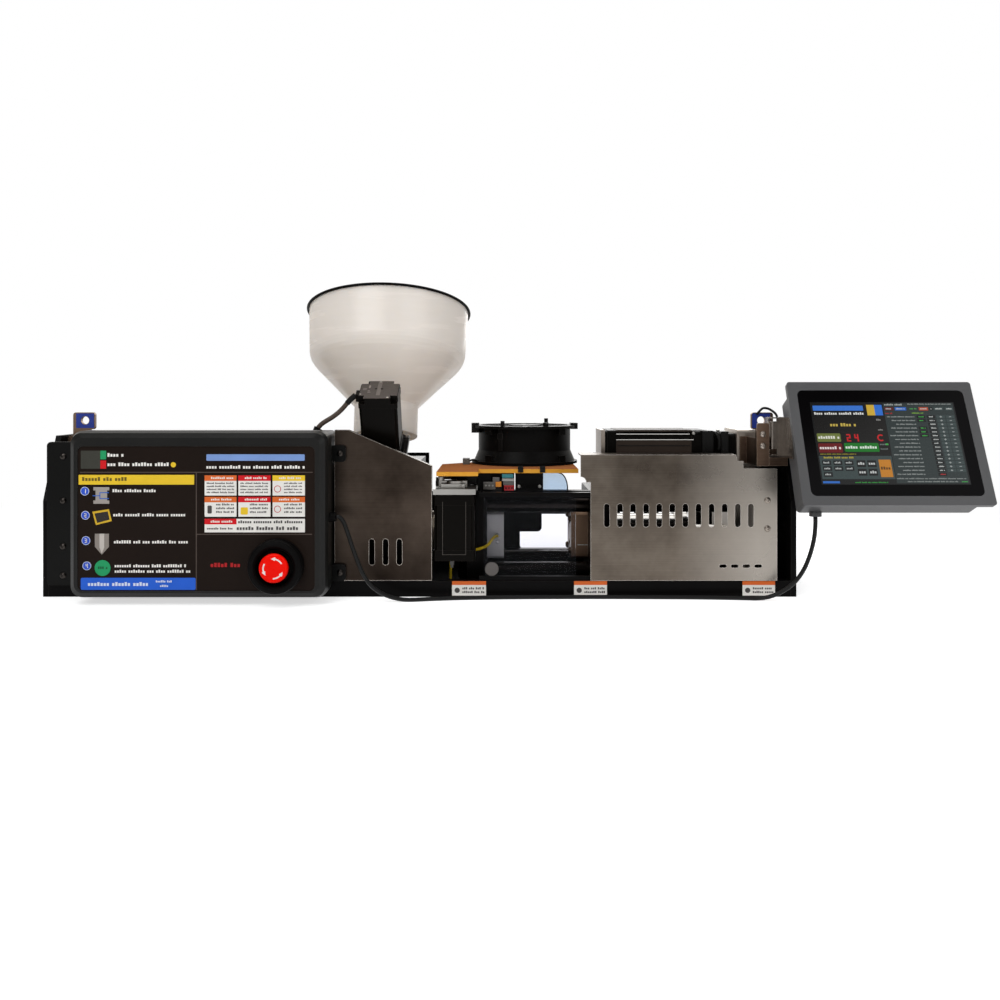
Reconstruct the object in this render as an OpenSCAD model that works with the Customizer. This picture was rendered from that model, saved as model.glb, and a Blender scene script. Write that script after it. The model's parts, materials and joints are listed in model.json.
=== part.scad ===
// Bench-top plunger injection moulding machine.
// X runs along the machine from the injection drive to the clamp, Y from the
// operator to the rear, Z up. The origin is the middle of the base's underside.
// The barrel, plunger, mould and clamp screw share one axis at Y = 0.

/* [Base and end plates] */
// Length over both end plates
base_l = 1093; // [1080:1:1130]
// Depth from the front rail to the rear cover
base_d = 300; // [280:1:330]
// Height of the base's front rail
rail_h = 23; // [20:1:28]
// Thickness of the base's folded steel sheet
pan_t = 4; // [3:0.5:5]
// Inward lip along the top of each rail
rail_lip = 16; // [12:1:24]
// Thickness of the end plates
end_t = 8; // [6:1:12]
// Height of the end plates' upright front edge
end_front_h = 139; // [120:1:160]
// Full height of the end plates
end_h = 232; // [225:1:240]
// How far the end plates' sloping front edge leans back
end_slope_d = 41; // [20:1:60]
// Height of the end plates at the rear
end_rear_h = 190; // [170:1:210]

/* [Rear cover] */
// Thickness of the rear cover's sheet
rear_t = 2; // [1.5:0.5:3]
// Width of the rear window behind the mould
window_w = 96; // [70:1:110]
// Height of the rear window behind the mould
window_h = 62; // [50:1:75]
// Corner radius of the rear window
window_r = 8; // [4:1:12]

/* [Steel covers] */
// Thickness of the stainless sheet
cover_t = 1.5; // [1:0.5:2.5]
// Gap between the rail and the covers above it
cover_gap = 0.5; // [0.3:0.1:1]
// Width of the injection cover
icover_w = 141; // [130:1:150]
// Height of the injection cover at its left side
icover_h = 242; // [235:1:250]
// Height of the injection cover at its right side
icover_low_h = 190; // [180:1:200]
// Width of the injection cover's level top
icover_top_w = 20; // [12:1:30]
// Depth of the injection cover's folded edges
icover_fold = 12; // [8:1:14]
// Width of the clamp cover's upper part
ccover_w = 285; // [275:1:295]
// Height of the clamp cover
ccover_h = 206; // [200:1:212]
// Width of the step at the clamp cover's top right
ccover_step_w = 49; // [40:1:55]
// Height of the step at the clamp cover's top right
ccover_step_h = 20; // [14:1:26]
// How far the clamp cover's lower part is set in at the left
ccover_inset = 14.5; // [10:0.5:20]
// Height at which the clamp cover's left side steps in
ccover_inset_z = 166; // [160:1:172]
// Depth of the clamp cover's top fold
ccover_fold = 45; // [35:1:50]
// Number of vent slots in the clamp cover
vent_n = 12; // [8:1:13]
// Width of one vent slot
vent_w = 8; // [6:1:10]
// Height of one vent slot
vent_h = 34; // [24:1:40]
// Distance from one vent slot to the next
vent_pitch = 19; // [17:1:20]

/* [Control enclosure] */
// Width of the enclosure
enc_w = 359; // [350:1:370]
// Height of the enclosure
enc_h = 233; // [225:1:236]
// Height of the enclosure's underside above the bench
enc_z = 10; // [8:1:14]
// How far the lid stands in front of the covers
enc_front = 65; // [60:1:75]
// Depth of the lid
lid_d = 38; // [32:1:44]
// Depth of the box behind the covers' front
enc_back = 46; // [40:1:50]
// Wall of the box and the lid
enc_wall = 4; // [3:0.5:5]
// Corner radius of the lid
lid_r = 16; // [10:1:22]
// Width of the lid's sloping edge
lid_bevel = 9; // [6:1:11]
// Width of the printed panel
panel_w = 328; // [318:1:332]
// Height of the printed panel
panel_h = 200; // [192:1:204]
// Thickness of the printed panel
panel_t = 1; // [0.8:0.2:1.6]
// Depth of the lid's recess for the panel
panel_recess = 2.2; // [1.8:0.2:3]
// Thickness of the fixing flange and ears
ear_t = 6; // [4:1:8]
// Radius of the emergency stop's head
estop_r = 20; // [18:0.5:22]
// Outer radius of the collar round the emergency stop
collar_r = 37.5; // [34:0.5:39]
// Height of the collar round the emergency stop
collar_h = 20; // [16:1:24]
// Travel of the emergency stop
estop_travel = 5; // [3:0.5:6]

/* [Hopper and feed] */
// Lean of the hopper towards the rear, in degrees
hopper_lean = 15.5; // [5:0.5:18]
// Outer radius of the hopper's rim
rim_r = 135; // [130:1:140]
// Outer radius of the hopper's body
hopper_r = 126; // [120:1:128]
// Height of the hopper's straight wall
hopper_h = 85; // [70:1:90]
// Height of the hopper's cone
cone_h = 76; // [70:1:85]
// Outer radius of the hopper's neck
neck_r = 51; // [46:1:54]
// Height of the hopper's neck
neck_h = 48; // [34:1:52]
// Wall of the hopper
hopper_wall = 3; // [2:0.5:4]
// Height of the hopper neck's lower end
neck_z = 226; // [222:1:230]
// Side of the square hopper motor
hmotor_w = 57; // [54:0.5:58]
// Length of the hopper motor
hmotor_l = 100; // [90:1:106]
// Lean of the hopper motor towards the operator, in degrees
hmotor_lean = 27; // [24:0.5:29]
// Radius of the feed auger
auger_r = 13; // [11:0.5:14]
// Pitch of the feed auger
auger_pitch = 22; // [18:1:26]

/* [Injection unit] */
// Height of the machine's axis
axis_z = 72.5; // [70:0.5:74]
// Radius of the plunger
plunger_r = 12; // [10:0.5:13]
// Travel of the plunger
inj_stroke = 110; // [90:1:112]
// Outer radius of the barrel
barrel_r = 22; // [20:0.5:24]
// Thickness of the two plates that hold the injection unit
iplate_t = 20; // [16:1:24]
// Half depth of the injection plates and the platens
plate_y = 80; // [76:1:84]
// Radius of the guide rods
rod_r = 8; // [7:0.5:10]
// Radius of both ball screws
screw_r = 12.5; // [11:0.5:14]
// Length of each ball nut
nut_l = 20; // [18:1:24]
// Side of the injection motor
imotor_w = 86; // [80:1:90]

/* [Nozzle valve] */
// Side of the valve motor
vmotor_w = 60; // [56:1:62]
// Length of the valve motor
vmotor_l = 96; // [88:1:104]
// Thickness of the plate that carries the valve motor
vplate_t = 8; // [6:1:8]
// Length of the crank and of the lever, between centres
crank_l = 22; // [18:1:24]
// Thickness of the crank and of the lever
crank_t = 9; // [7:0.5:9]

/* [Mould and clamp] */
// Place of the fixed mould face from the middle of the base
mould_x = 122.5; // [110:0.5:126]
// Thickness of each mould half
mould_t = 26; // [22:1:30]
// Height of the mould halves
mould_h = 72; // [60:1:74]
// Half depth of the mould halves
mould_y = 40; // [34:1:41]
// Travel of the clamp
clamp_stroke = 105; // [90:1:110]
// Thickness of the platens
platen_t = 30; // [26:1:34]
// Height of the platens' top
platen_z = 148; // [144:1:150]
// Radius of the tie bars
tie_r = 12; // [10:0.5:13]
// Half distance between the tie bars, front to rear
tie_y = 55; // [54:0.5:58]
// Half distance between the tie bars, top to bottom
tie_z = 50.5; // [48:0.5:52]
// Thickness of the thrust plate
thrust_t = 28; // [24:1:30]
// Room for the belt between the thrust plate and the end plate
belt_bay = 36; // [34:1:40]
// Side of the clamp motor
cmotor_w = 80; // [76:1:84]
// Length of the clamp motor
cmotor_l = 204; // [190:1:206]
// Height of the clamp motor's axis
cmotor_z = 199; // [196:1:203]
// Distance of the clamp motor's axis in front of the machine's axis
cmotor_y = 50; // [46:1:54]
// Radius of the screw's pulley
big_pulley_r = 38; // [34:0.5:42]
// Radius of the motor's pulley
small_pulley_r = 19; // [16:0.5:22]
// Width of the timing belt
belt_w = 15; // [10:1:18]
// Thickness of the timing belt
belt_t = 3; // [2:0.5:4]

/* [Guard] */
// Width of the clear door
door_w = 134; // [128:1:138]
// Thickness of the clear door
door_t = 3; // [2:0.5:4]
// Travel of the clear door
door_travel = 90; // [70:1:95]
// Radius of the door's knob
knob_r = 10; // [8:0.5:12]

/* [Fan and board] */
// Radius of the fan's flanges
fan_r = 86; // [82:1:88]
// Radius of the fan's duct
duct_r = 75; // [70:1:77]
// Height of the fan
fan_h = 61; // [45:1:64]
// Height of the spacers under the fan
spacer_h = 1; // [1:0.5:12]
// Number of fan blades
blade_n = 7; // [5:1:9]
// Thickness of the board
board_t = 6; // [4:1:8]
// Height of the board's underside
board_z = 175; // [174:1:180]

/* [Operator display] */
// Width of the display's bezel
hmi_w = 262; // [250:1:275]
// Height of the display's bezel
hmi_h = 184; // [176:1:190]
// Thickness of the bezel
bezel_t = 8; // [6:1:10]
// Depth of the display's housing behind the bezel
hmi_d = 50; // [42:1:54]
// Lean of the display towards the rear, in degrees
hmi_lean = 25; // [20:1:28]
// Height of the middle of the display's face
hmi_z = 228; // [224:1:234]

/* [Hidden] */
$fn = 64;

seat = 0.3;      // gap between pieces that lie against each other
run_fit = 0.05;  // radial clearance of a running fit
slack = 0.5;     // free space round a piece that passes through a hole

// Ends, front and rear of the machine
end_x = base_l / 2;
in_x = end_x - end_t;
front_y = -base_d / 2;
rear_y = base_d / 2;
cover_z = rail_h + cover_gap;
rear_low_x = -8;
rear_low_w = 288;
rear_low_h = 122;

// Injection cover and control enclosure
enc_flange_w = 56;
enc_x = enc_flange_w - in_x;
icover_x = enc_x + enc_w;
lid_y = front_y - enc_front;
panel_x = icover_x - 16.5 - panel_w;
panel_z = enc_z + 12;
estop_x = icover_x - 68.5;
estop_z = panel_z + 35;
panel_y = lid_y + panel_recess - panel_t;

// Clamp cover, thrust plate and belt
thrust_x = in_x - belt_bay - thrust_t;
thrust_top = cmotor_z + cmotor_w / 2 + 1;
ccover_x = mould_x + 111;
ccover_r = ccover_x + ccover_w;

// Mould, platens and ram
fixed_platen_x = mould_x - mould_t - platen_t;
moving_mould_x = mould_x + seat + clamp_stroke;
moving_platen_x = moving_mould_x + mould_t;
ram_x = moving_platen_x + platen_t;
ram_l = clamp_stroke + nut_l + 5;
ram_r = 30;

// Injection unit, from the nozzle to the motor
valve_x = fixed_platen_x - 16.5;
hopper_x = -67.5;
feed_w = 120;
barrel_plate_x = hopper_x - feed_w / 2 - 12.5 - iplate_t;
crosshead_x = barrel_plate_x - inj_stroke - 30;
crosshead_t = 20;
tube_l = inj_stroke + nut_l + 5;
tube_r = 26;
bearing_plate_x = crosshead_x - tube_l - 12 - iplate_t;
rod_y = 55;
imotor_l = bearing_plate_x + in_x - 2;

// Valve drive: the motor's shaft, and the link's height above the arms
vmotor_y = front_y + vmotor_w / 2;
crank_z = platen_z + vplate_t + 1;
link_z = crank_z + crank_t + seat;
link_t = 5;
pin_r = 3;

// Feed: the hopper's axis starts at the foot of its neck
neck_y = 0;
cone_top = neck_h + cone_h;
hopper_top = cone_top + hopper_h;
cone_slope = 0.4;    // how far the inner face's corners lie above the outer ones', for a wall of 1
corner_in = 12;      // reach of the rounding between the cone and the wall
rim_in = 4;          // how far the wall's top lies inside the rim
cone_run = (hopper_r - neck_r) / cone_h;
wall_run = (rim_r - rim_in - hopper_r) / hopper_h;
top_gap = 0.02;
edging_h = 1.7;      // how far the edging reaches down from the rim's top
edging_r = 1.85;
outlet_r = 18;
feed_top = 190;
feed_tube_r = 28;
hmotor_x = hopper_x + 7.5;
hmotor_y = -138;
hmotor_z = 300;

// Fan
fan_x = mould_x + 34;
fan_y = 33;
fan_z = board_z + board_t + spacer_h;

// Guard
door_x = mould_x - 30;
door_y = front_y + 5;
door_z = rail_h + seat + 3;
door_h = platen_z - door_z;

// Display: middle of the face, and the swivel's axis
hmi_x = in_x + 118;
hmi_y = front_y - 60;
pivot_x = in_x - 18;
pivot_y = front_y + 20;
hmi_gland = [hmi_x - 96.5, hmi_y + 17, hmi_z - 106];

// Routes of the two free cables, from their glands
hmi_cable_r = 3;
gland_r = 6.8;
gland_x = icover_x - 3 - enc_wall;
gland_y = lid_y + 25;
gland_z = 121;
hmi_cable_route = [
    [-114, -190, 121], [-110, -190, 121], [-104, -190, 114], [-98, -190, 98], [-91, -190, 77],
    [-82, -190, 53], [-75, -190, 38], [-65, -190, 24], [-50, -189, 13], [-32, -187, 6], [-12, -184, 3],
    [20, -178, 3], [60, -172, 3], [110, -168, 3], [170, -166, 3], [240, -165, 3],
    [320, -166, 3], [400, -168, 3], [455, -172, 3], [490, -177, 4], [512, -182, 12],
    [530, -187, 26], [543, -190, 44], [552, -192, 66], [558, -193, 90], [560, -193, 110],
    [560, -193, 122]
];
lead_r = 3.5;
lead_route = [
    [-97, -133, 291], [-99, -133, 289.5], [-103, -133, 286], [-108, -133, 280.5], [-114, -133, 273.5],
    [-121, -134, 266.5], [-129.5, -135, 260], [-138.5, -136, 254.5], [-145.5, -137, 249.5],
    [-151, -138, 243]
];

// Lifting lugs
vent_z = 101;
lug_w = 33;
lug_in = 8;
lug_foot_w = belt_bay - 2;
lug_t = 6;
lug_top = end_h + 34;
lug_tab_z = thrust_top + slack;
lug_y = front_y + 62;
eye_r = 6;

// Enclosure's lid, its screws and ears
lid_back = lid_y + lid_d;
box_back = front_y + enc_back;
flange_screw_z = [32, 74, 140, 204];
ear_z = [36, 208];
flange_screw_x = -in_x + 24;
ear_screw_x = icover_x + 9;
ccover_screw_x = ccover_r - 14;
ccover_screw_z = [99, 140];
screw_hole_r = 2.6;
enc_in = 3;
enc_r = 10;
estop_hole_r = 12;
stem_r = 7;
lead_end = lead_route[len(lead_route) - 1];

// Motor caps and barrel
cap_h = 9;
cap_notch = 10;
hbracket_t = 8;
tip_l = 12;
valve_l = 28;
barrel_l = valve_x - valve_l / 2 - barrel_plate_x;
band_pitch = 20;
band_w = 17;
plunger_in = 8;
crosshead_h = 68;
iplate_h = 136;
band_x0 = hopper_x + feed_w / 2 + 4;

// Tie bars, mould pins, belt, guard and fan
tie_l = thrust_x + thrust_t + 12.5 - fixed_platen_x + 14;
cavity_r = 20;
mould_pin_r = 5;
mould_pin_y = mould_y - 11;
mould_pin_z = mould_h / 2 - 11;
screw_end_x = in_x - 3;
shaft_r = 9;
encoder_l = 9;
belt_x = thrust_x + thrust_t + (belt_bay - belt_w) / 2 + 3;
track_x = door_x - 6;
track_l = door_w + door_travel + 12;
track_lip = 2;
track_back_y = door_y + door_t + track_lip + seat;
knob_x = door_x + knob_r + 2;
knob_z = door_z + knob_r + 4;
knob_pin_r = 2.5;
bar_y = -plate_y - 12 - seat;
fan_lug_a = [45, 135, 225, 315];
fan_lug_w = 14;
flare_h = 18;
clip_a = -67;

// Display's bracket and arm
hmi_screw_z = [219, 236];
strap_z = ccover_h - ccover_step_h + 4;
strap_h = 62;
strap_x = pivot_x - 32;
strap_w = 18;
strap_screw_x = strap_x + strap_w / 2;
block_h = 12;
arm_z = strap_z + block_h + seat;
arm_h = 58;
arm_x = hmi_x - hmi_w / 2 + 8 - seat;
arm_r = 11;
arm_t = 2.5;
bend_r = 6;
notch_w = 11;
notch_h = 8;

// Rectangle w by h from the origin, with round corners
module round_rect(w, h, r) {
    if (w > 2 * r) translate([r, 0]) square([w - 2 * r, h]);
    if (h > 2 * r) translate([0, r]) square([w, h - 2 * r]);
    for (x = [r, w - r], y = [r, h - r]) translate([x, y]) circle(r);
}

// A 2D shape seen from the front, as a sheet from y to y + t
module front_sheet(y, t) translate([0, y + t, 0]) rotate([90, 0, 0]) linear_extrude(t) children();

// A 2D shape in Y and Z, as a plate from x to x + t
module side_plate(x, t) translate([x, 0, 0]) rotate([90, 0, 90]) linear_extrude(t) children();

// Cylinders along X and along Y
module x_cyl(p, r, l) translate(p) rotate([0, 90, 0]) cylinder(r = r, h = l);
module y_cyl(p, r, l) translate(p) rotate([-90, 0, 0]) cylinder(r = r, h = l);

// Square motor along +X from x: a case, a laminated stack between two end bells
module square_motor(w, l, r) {
    bell = 0.16 * l;
    for (z = [0, l - bell]) translate([-w / 2, -w / 2, z]) linear_extrude(bell) round_rect(w, w, r);
    notch = 0.09 * w;
    translate([0, 0, bell]) linear_extrude(l - 2 * bell) difference() {
        translate([-w / 2 + 0.8, -w / 2 + 0.8]) square(w - 1.6);
        for (a = [0:90:270]) rotate(a) translate([w / 2, w / 2]) circle(notch);
    }
}

// The four tie bars' places in Y and Z, with the axis in the middle
module at_tie_bars() for (y = [-tie_y, tie_y], z = [-tie_z, tie_z]) translate([y, axis_z + z]) children();

function unit(v) = v / norm(v);
function frame_at(p, i) = unit(p[min(i + 1, len(p) - 1)] - p[max(i - 1, 0)]);

// A cable: rings square to the route, joined by flat faces
module cable(route, r, sides = 8) {
    side = [for (i = [0:len(route) - 1])
        let (t = frame_at(route, i), s = abs(t[1]) > 0.9 ? [1, 0, 0] : [0, 1, 0])
        unit(s - (s * t) * t)];
    rings = [for (i = [0:len(route) - 1])
        let (t = frame_at(route, i), n = side[i], b = cross(t, n))
        for (k = [0:sides - 1]) route[i] + r * (cos(360 * k / sides) * n + sin(360 * k / sides) * b)];
    last = len(route) - 1;
    faces = concat(
        [[for (k = [0:sides - 1]) k]],
        [for (i = [0:last - 1], k = [0:sides - 1]) let (j = (k + 1) % sides)
            [i * sides + j, i * sides + k, (i + 1) * sides + k, (i + 1) * sides + j]],
        [[for (k = [sides - 1:-1:0]) last * sides + k]]
    );
    polyhedron(rings, faces);
}

// Points between the chosen ones, on a smooth curve through them
function smooth(p, n) = concat(
    [for (i = [0:len(p) - 2], k = [0:n - 1]) let (
        t = k / n,
        a = p[max(i - 1, 0)], b = p[i], c = p[i + 1], d = p[min(i + 2, len(p) - 1)]
    ) 0.5 * (2 * b + (c - a) * t + (2 * a - 5 * b + 4 * c - d) * t * t
        + (3 * b - a - 3 * c + d) * t * t * t)],
    [p[len(p) - 1]]
);

// ---- Frame and covers ----

module base_pan() color("#1b1b1c") {
    translate([-in_x + seat, front_y, 0]) cube([2 * (in_x - seat), base_d - rear_t - seat, pan_t]);
    for (side = [0, 1]) {
        y = side == 0 ? front_y : rear_y - rear_t - seat - 3;
        lip_y = side == 0 ? front_y : rear_y - rear_t - seat - rail_lip;
        translate([-in_x + seat, y, 0]) cube([2 * (in_x - seat), 3, rail_h]);
        translate([-in_x + seat, lip_y, rail_h - 2]) cube([2 * (in_x - seat), rail_lip, 2]);
    }
}

module end_profile() polygon([
    [front_y, 0], [front_y, end_front_h], [front_y + end_slope_d, end_h], [front_y + 130, end_h],
    [rear_y, end_rear_h], [rear_y, 0]
]);

module end_plates() color("#1b1b1c") for (x = [-end_x, in_x]) side_plate(x, end_t) end_profile();

module rear_cover() color("#202022") {
    front_sheet(rear_y - rear_t, rear_t) difference() {
        translate([-in_x + seat, pan_t]) square([2 * (in_x - seat), end_rear_h - pan_t]);
        // Low middle part, behind the mould and the board
        translate([rear_low_x, rear_low_h]) square([rear_low_w, end_rear_h - rear_low_h + 1]);
        rear_window();
        for (i = [0:9]) translate([ccover_x + 60 + i * 17, 60]) round_rect(8, 60, 4);
        for (i = [0:9]) translate([-in_x + 60 + i * 17, 60]) round_rect(8, 60, 4);
    }
    // Sloping top over the injection drive
    side_plate(-in_x + seat, in_x + icover_x - 30) polygon([
        [rear_y - 0.01, end_rear_h - rear_t], [rear_y - 0.01, end_rear_h], [front_y + 130, end_h],
        [front_y + 130, end_h - rear_t]
    ]);
}

// L-shaped window behind the mould, with a round inner corner
module rear_window() translate([mould_x + 29, pan_t + 16]) difference() {
    round_rect(window_w, window_h, window_r);
    translate([-window_r, window_h / 2]) round_rect(window_w * 0.4 + window_r, window_h, window_r);
}

module injection_cover_outline() polygon([
    [icover_x, cover_z], [icover_x, icover_h], [icover_x + icover_top_w, icover_h],
    [icover_x + icover_w, icover_low_h], [icover_x + icover_w, cover_z]
]);

module injection_cover() color("#a8a9ab") {
    front_sheet(front_y, cover_t) difference() {
        injection_cover_outline();
        for (i = [0:2]) translate([icover_x + 50 + i * 20, 46]) round_rect(8, 38, 4);
    }
    // Folded edges along the top, the slope, both sides and the foot
    front_sheet(front_y, icover_fold) difference() {
        injection_cover_outline();
        intersection() {
            translate([cover_t, 0]) injection_cover_outline();
            translate([-cover_t, 0]) injection_cover_outline();
            translate([0, -1.1 * cover_t]) injection_cover_outline();
            translate([0, cover_t]) injection_cover_outline();
        }
    }
}

module clamp_cover_outline() {
    top_l = ccover_w - ccover_step_w - 11;
    translate([ccover_x + ccover_inset, cover_z])
        square([ccover_w - ccover_inset, ccover_h - ccover_step_h - cover_z]);
    translate([ccover_x, ccover_inset_z + 8]) square([top_l, ccover_h - ccover_inset_z - 8]);
    // Round step at the left, and fillet up to the raised part at the right
    difference() {
        translate([ccover_x, ccover_inset_z]) square([ccover_inset + 1, 9]);
        translate([ccover_x, ccover_inset_z]) circle(8);
    }
    difference() {
        translate([ccover_x + top_l - 1, ccover_h - ccover_step_h - 1]) square([12, ccover_step_h + 1]);
        translate([ccover_x + top_l + 11, ccover_h + 2]) circle(11);
        translate([ccover_x + top_l + 2, ccover_h - 9]) square([12, 12]);
    }
}

module clamp_cover() color("#c4c5c7") {
    front_sheet(front_y, cover_t) difference() {
        clamp_cover_outline();
        row = (vent_n - 1) * vent_pitch + vent_w;
        for (i = [0:vent_n - 1])
            translate([ccover_x + (ccover_w - row) / 2 + i * vent_pitch, vent_z])
                round_rect(vent_w, vent_h, vent_w / 2);
        for (i = [0:3]) translate([ccover_r - 84 + i * 17, 42]) round_rect(11, 5, 2.5);
        for (z = ccover_screw_z) translate([ccover_screw_x, z]) circle(2.5);
    }
    // Top fold, stepped top fold, both sides and the foot
    translate([ccover_x, front_y, ccover_h - cover_t])
        cube([ccover_w - ccover_step_w - 11, ccover_fold, cover_t]);
    translate([ccover_r - ccover_step_w + 1, front_y, ccover_h - ccover_step_h - cover_t])
        cube([ccover_step_w - 1, ccover_fold, cover_t]);
    translate([ccover_r - cover_t, front_y, cover_z])
        cube([cover_t, 20, ccover_h - ccover_step_h - cover_z]);
    foot_x = track_x + track_l + 2;
    translate([foot_x, front_y, cover_z]) cube([ccover_r - foot_x, rail_lip, cover_t]);
}

// Tabs with a lifting eye, standing on the end plates' inner faces

module lifting_lugs() color("#9a9a9a") for (side = [0, 1]) mirror([side, 0, 0])
    front_sheet(lug_y, lug_t) difference() {
        union() {
            translate([-in_x + seat, end_h - 30]) round_rect(lug_foot_w, 29, 4);
            translate([-in_x + seat + lug_in, end_h - 20])
                square([lug_foot_w - lug_in, lug_tab_z - end_h + 25]);
            translate([-in_x + seat + lug_in, lug_tab_z]) round_rect(lug_w, lug_top - lug_tab_z, 4);
        }
        translate([-in_x + seat + lug_in + lug_w * 0.55, lug_top - 12]) circle(eye_r);
    }

// ---- Control enclosure ----

module enclosure_box() color("#19191a") {
    difference() {
        front_sheet(lid_back, box_back - lid_back) translate([enc_x + enc_in, enc_z + enc_in])
            round_rect(enc_w - 2 * enc_in, enc_h - 2 * enc_in, enc_r);
        box_hollow(lid_back - 1, front_y - seat - enc_wall, enc_z + enc_in + enc_wall);
        box_hollow(lid_back - 1, box_back - enc_wall, rail_h + seat + enc_wall);
        // The rear part stands above the rail
        translate([enc_x, front_y - seat, 0]) cube([enc_w, enc_back + 1, rail_h + seat]);
        // Hole for the hopper motor's lead
        translate([icover_x - 27.5, lead_end.y, enc_z + enc_h - 12]) cylinder(r = lead_r + slack, h = 20);
    }
    // Fixing flange at the left, and two ears at the right
    difference() {
        front_sheet(front_y - ear_t, ear_t) translate([-in_x + seat, enc_z + 8])
            round_rect(enc_x + in_x + 5, enc_h - 26, 6);
        for (z = flange_screw_z) y_cyl([flange_screw_x, front_y - ear_t - 1, z], screw_hole_r, ear_t + 2);
    }
    for (z = ear_z) difference() {
        front_sheet(front_y - ear_t - seat, ear_t) translate([icover_x - 5, z - 12]) round_rect(22, 24, 5);
        y_cyl([ear_screw_x, front_y - ear_t - 2, z], screw_hole_r, ear_t + 4);
    }
}

// Hollow of the box from y0 to y1, with its floor at z
module box_hollow(y0, y1, z) translate([enc_x + enc_in + enc_wall, y0, z])
    cube([enc_w - 2 * (enc_in + enc_wall), y1 - y0, enc_z + enc_h - enc_in - enc_wall - z]);

// Rounded outline of the lid, set in by d, as a thin slab at y
module lid_slab(d, y) front_sheet(y, 0.1) translate([enc_x + d, enc_z + d])
    round_rect(enc_w - 2 * d, enc_h - 2 * d, lid_r - d * 0.4, $fn = 32);

module enclosure_lid() color("#1a1a1b") difference() {
    union() {
        hull() {
            lid_slab(0, lid_back - 0.1);
            lid_slab(0, lid_y + 14);
            lid_slab(lid_bevel * 0.3, lid_y + 5);
            lid_slab(lid_bevel, lid_y);
        }
    }
    // Hollow inside, and the recess for the printed panel
    translate([enc_x + enc_wall + lid_bevel, lid_y + panel_recess + enc_wall, enc_z + enc_wall + lid_bevel])
        cube([enc_w - 2 * (enc_wall + lid_bevel), lid_d, enc_h - 2 * (enc_wall + lid_bevel)]);
    front_sheet(lid_y - 1, panel_recess + 1) translate([panel_x - seat, panel_z - seat])
        round_rect(panel_w + 2 * seat, panel_h + 2 * seat, 8);
    y_cyl([estop_x, lid_y - 1, estop_z], estop_hole_r, 20);
    // The collar reaches over the lower rim
    y_cyl([estop_x, lid_y - 5, estop_z], collar_r + seat, 5 + panel_recess - panel_t);
    translate([icover_x - 20, gland_y, gland_z]) rotate([0, 90, 0]) cylinder(r = gland_r + 0.2, h = 30);
}

module panel_overlay() color("#2b2320") difference() {
    front_sheet(panel_y, panel_t) translate([panel_x, panel_z]) round_rect(panel_w, panel_h, 8 - seat);
    y_cyl([estop_x, panel_y - 1, estop_z], estop_hole_r, panel_t + 2);
}

module estop_collar() color("#1c1c1d") translate([estop_x, panel_y - 0.05, estop_z]) rotate([90, 0, 0]) {
    rotate_extrude() polygon([
        [9, 0], [collar_r, 0], [collar_r, collar_h - 5], [collar_r - 1.5, collar_h - 1.5],
        [collar_r - 5, collar_h], [collar_r - 8, collar_h], [collar_r - 11, collar_h - 3],
        [estop_r + 2.5, 4], [9, 4]
    ]);
    // Threaded sleeve through the lid, and the contact block behind it
    difference() {
        translate([0, 0, -26]) cylinder(r = estop_hole_r - 0.7, h = 27);
        translate([0, 0, -27]) cylinder(r = stem_r + run_fit, h = 40);
    }
}

// Stem that slides in the sleeve
module estop_plunger() color("#3a3a3c") translate([estop_x, panel_y, estop_z]) rotate([90, 0, 0]) {
    translate([0, 0, -20]) cylinder(r = stem_r, h = 20 + collar_h - 3);
}

// Mushroom head that turns on the stem
module estop_head() color("#ff1a10") translate([estop_x, panel_y, estop_z]) rotate([90, 0, 0]) difference() {
    rotate_extrude() polygon(concat(
        [[0, 4 + estop_travel + 2], [13, 4 + estop_travel + 2], [15, collar_h - 6],
        [estop_r - 1, collar_h - 3],
            [estop_r, collar_h - 1], [estop_r, collar_h + 2]],
        [for (a = [15:15:90]) [estop_r - 3 + 3 * cos(a), collar_h + 2 + 3 * sin(a)]],
        [[0, collar_h + 5.8]]
    ));
    cylinder(r = stem_r + run_fit, h = collar_h - 3 + run_fit);
}

module cable_gland() color("#2a2a2b") translate([gland_x, gland_y, gland_z]) rotate([0, 90, 0]) {
    cylinder(r = gland_r, h = 7.5);
    translate([0, 0, 5]) cylinder(r = gland_r - 0.4, h = hmi_cable_route[0][0] - slack - gland_x - 5);
}

module cover_screws() color("#303032") {
    for (z = flange_screw_z) button_screw([flange_screw_x, front_y - ear_t, z]);
    for (z = ear_z) button_screw([ear_screw_x, front_y - ear_t - seat, z]);
    for (z = ccover_screw_z) button_screw([ccover_screw_x, front_y, z]);
    for (z = hmi_screw_z) button_screw([strap_screw_x, front_y - 2 - seat, z]);
}

// Button-head screw facing the operator, with a hex socket, its head's underside at p
module button_screw(p) translate(p) rotate([90, 0, 0]) {
    difference() {
        rotate_extrude() polygon([[0, 0], [4.6, 0], [4.6, 0.6], [3.6, 2], [2, 2.7], [0, 2.9]]);
        translate([0, 0, 1]) cylinder(r = 1.9, h = 3, $fn = 6);
    }
    translate([0, 0, -5]) cylinder(r = 2.4, h = 5.5);
}

// ---- Hopper and feed ----

// Puts a shape that stands on the foot of the hopper's neck into place
module on_neck() translate([hopper_x, neck_y, neck_z]) rotate([-hopper_lean, 0, 0]) children();

// Half outline of the hopper, w inside its outer face, from z0 to z1
module hopper_outline(w, z0, z1) polygon(concat(
    [[0, z0], [neck_r - w, z0], [neck_r - w, neck_h + w * cone_slope]],
    // Rounding between the cone and the wall
    [for (i = [0:4]) let (a = corner_in * pow(1 - i / 4, 2), b = corner_in * pow(i / 4, 2))
        [hopper_r - w - a * cone_run + b * wall_run, cone_top + w * cone_slope - a + b]],
    [[rim_r - rim_in - w, z1], [0, z1]]
));

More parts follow.
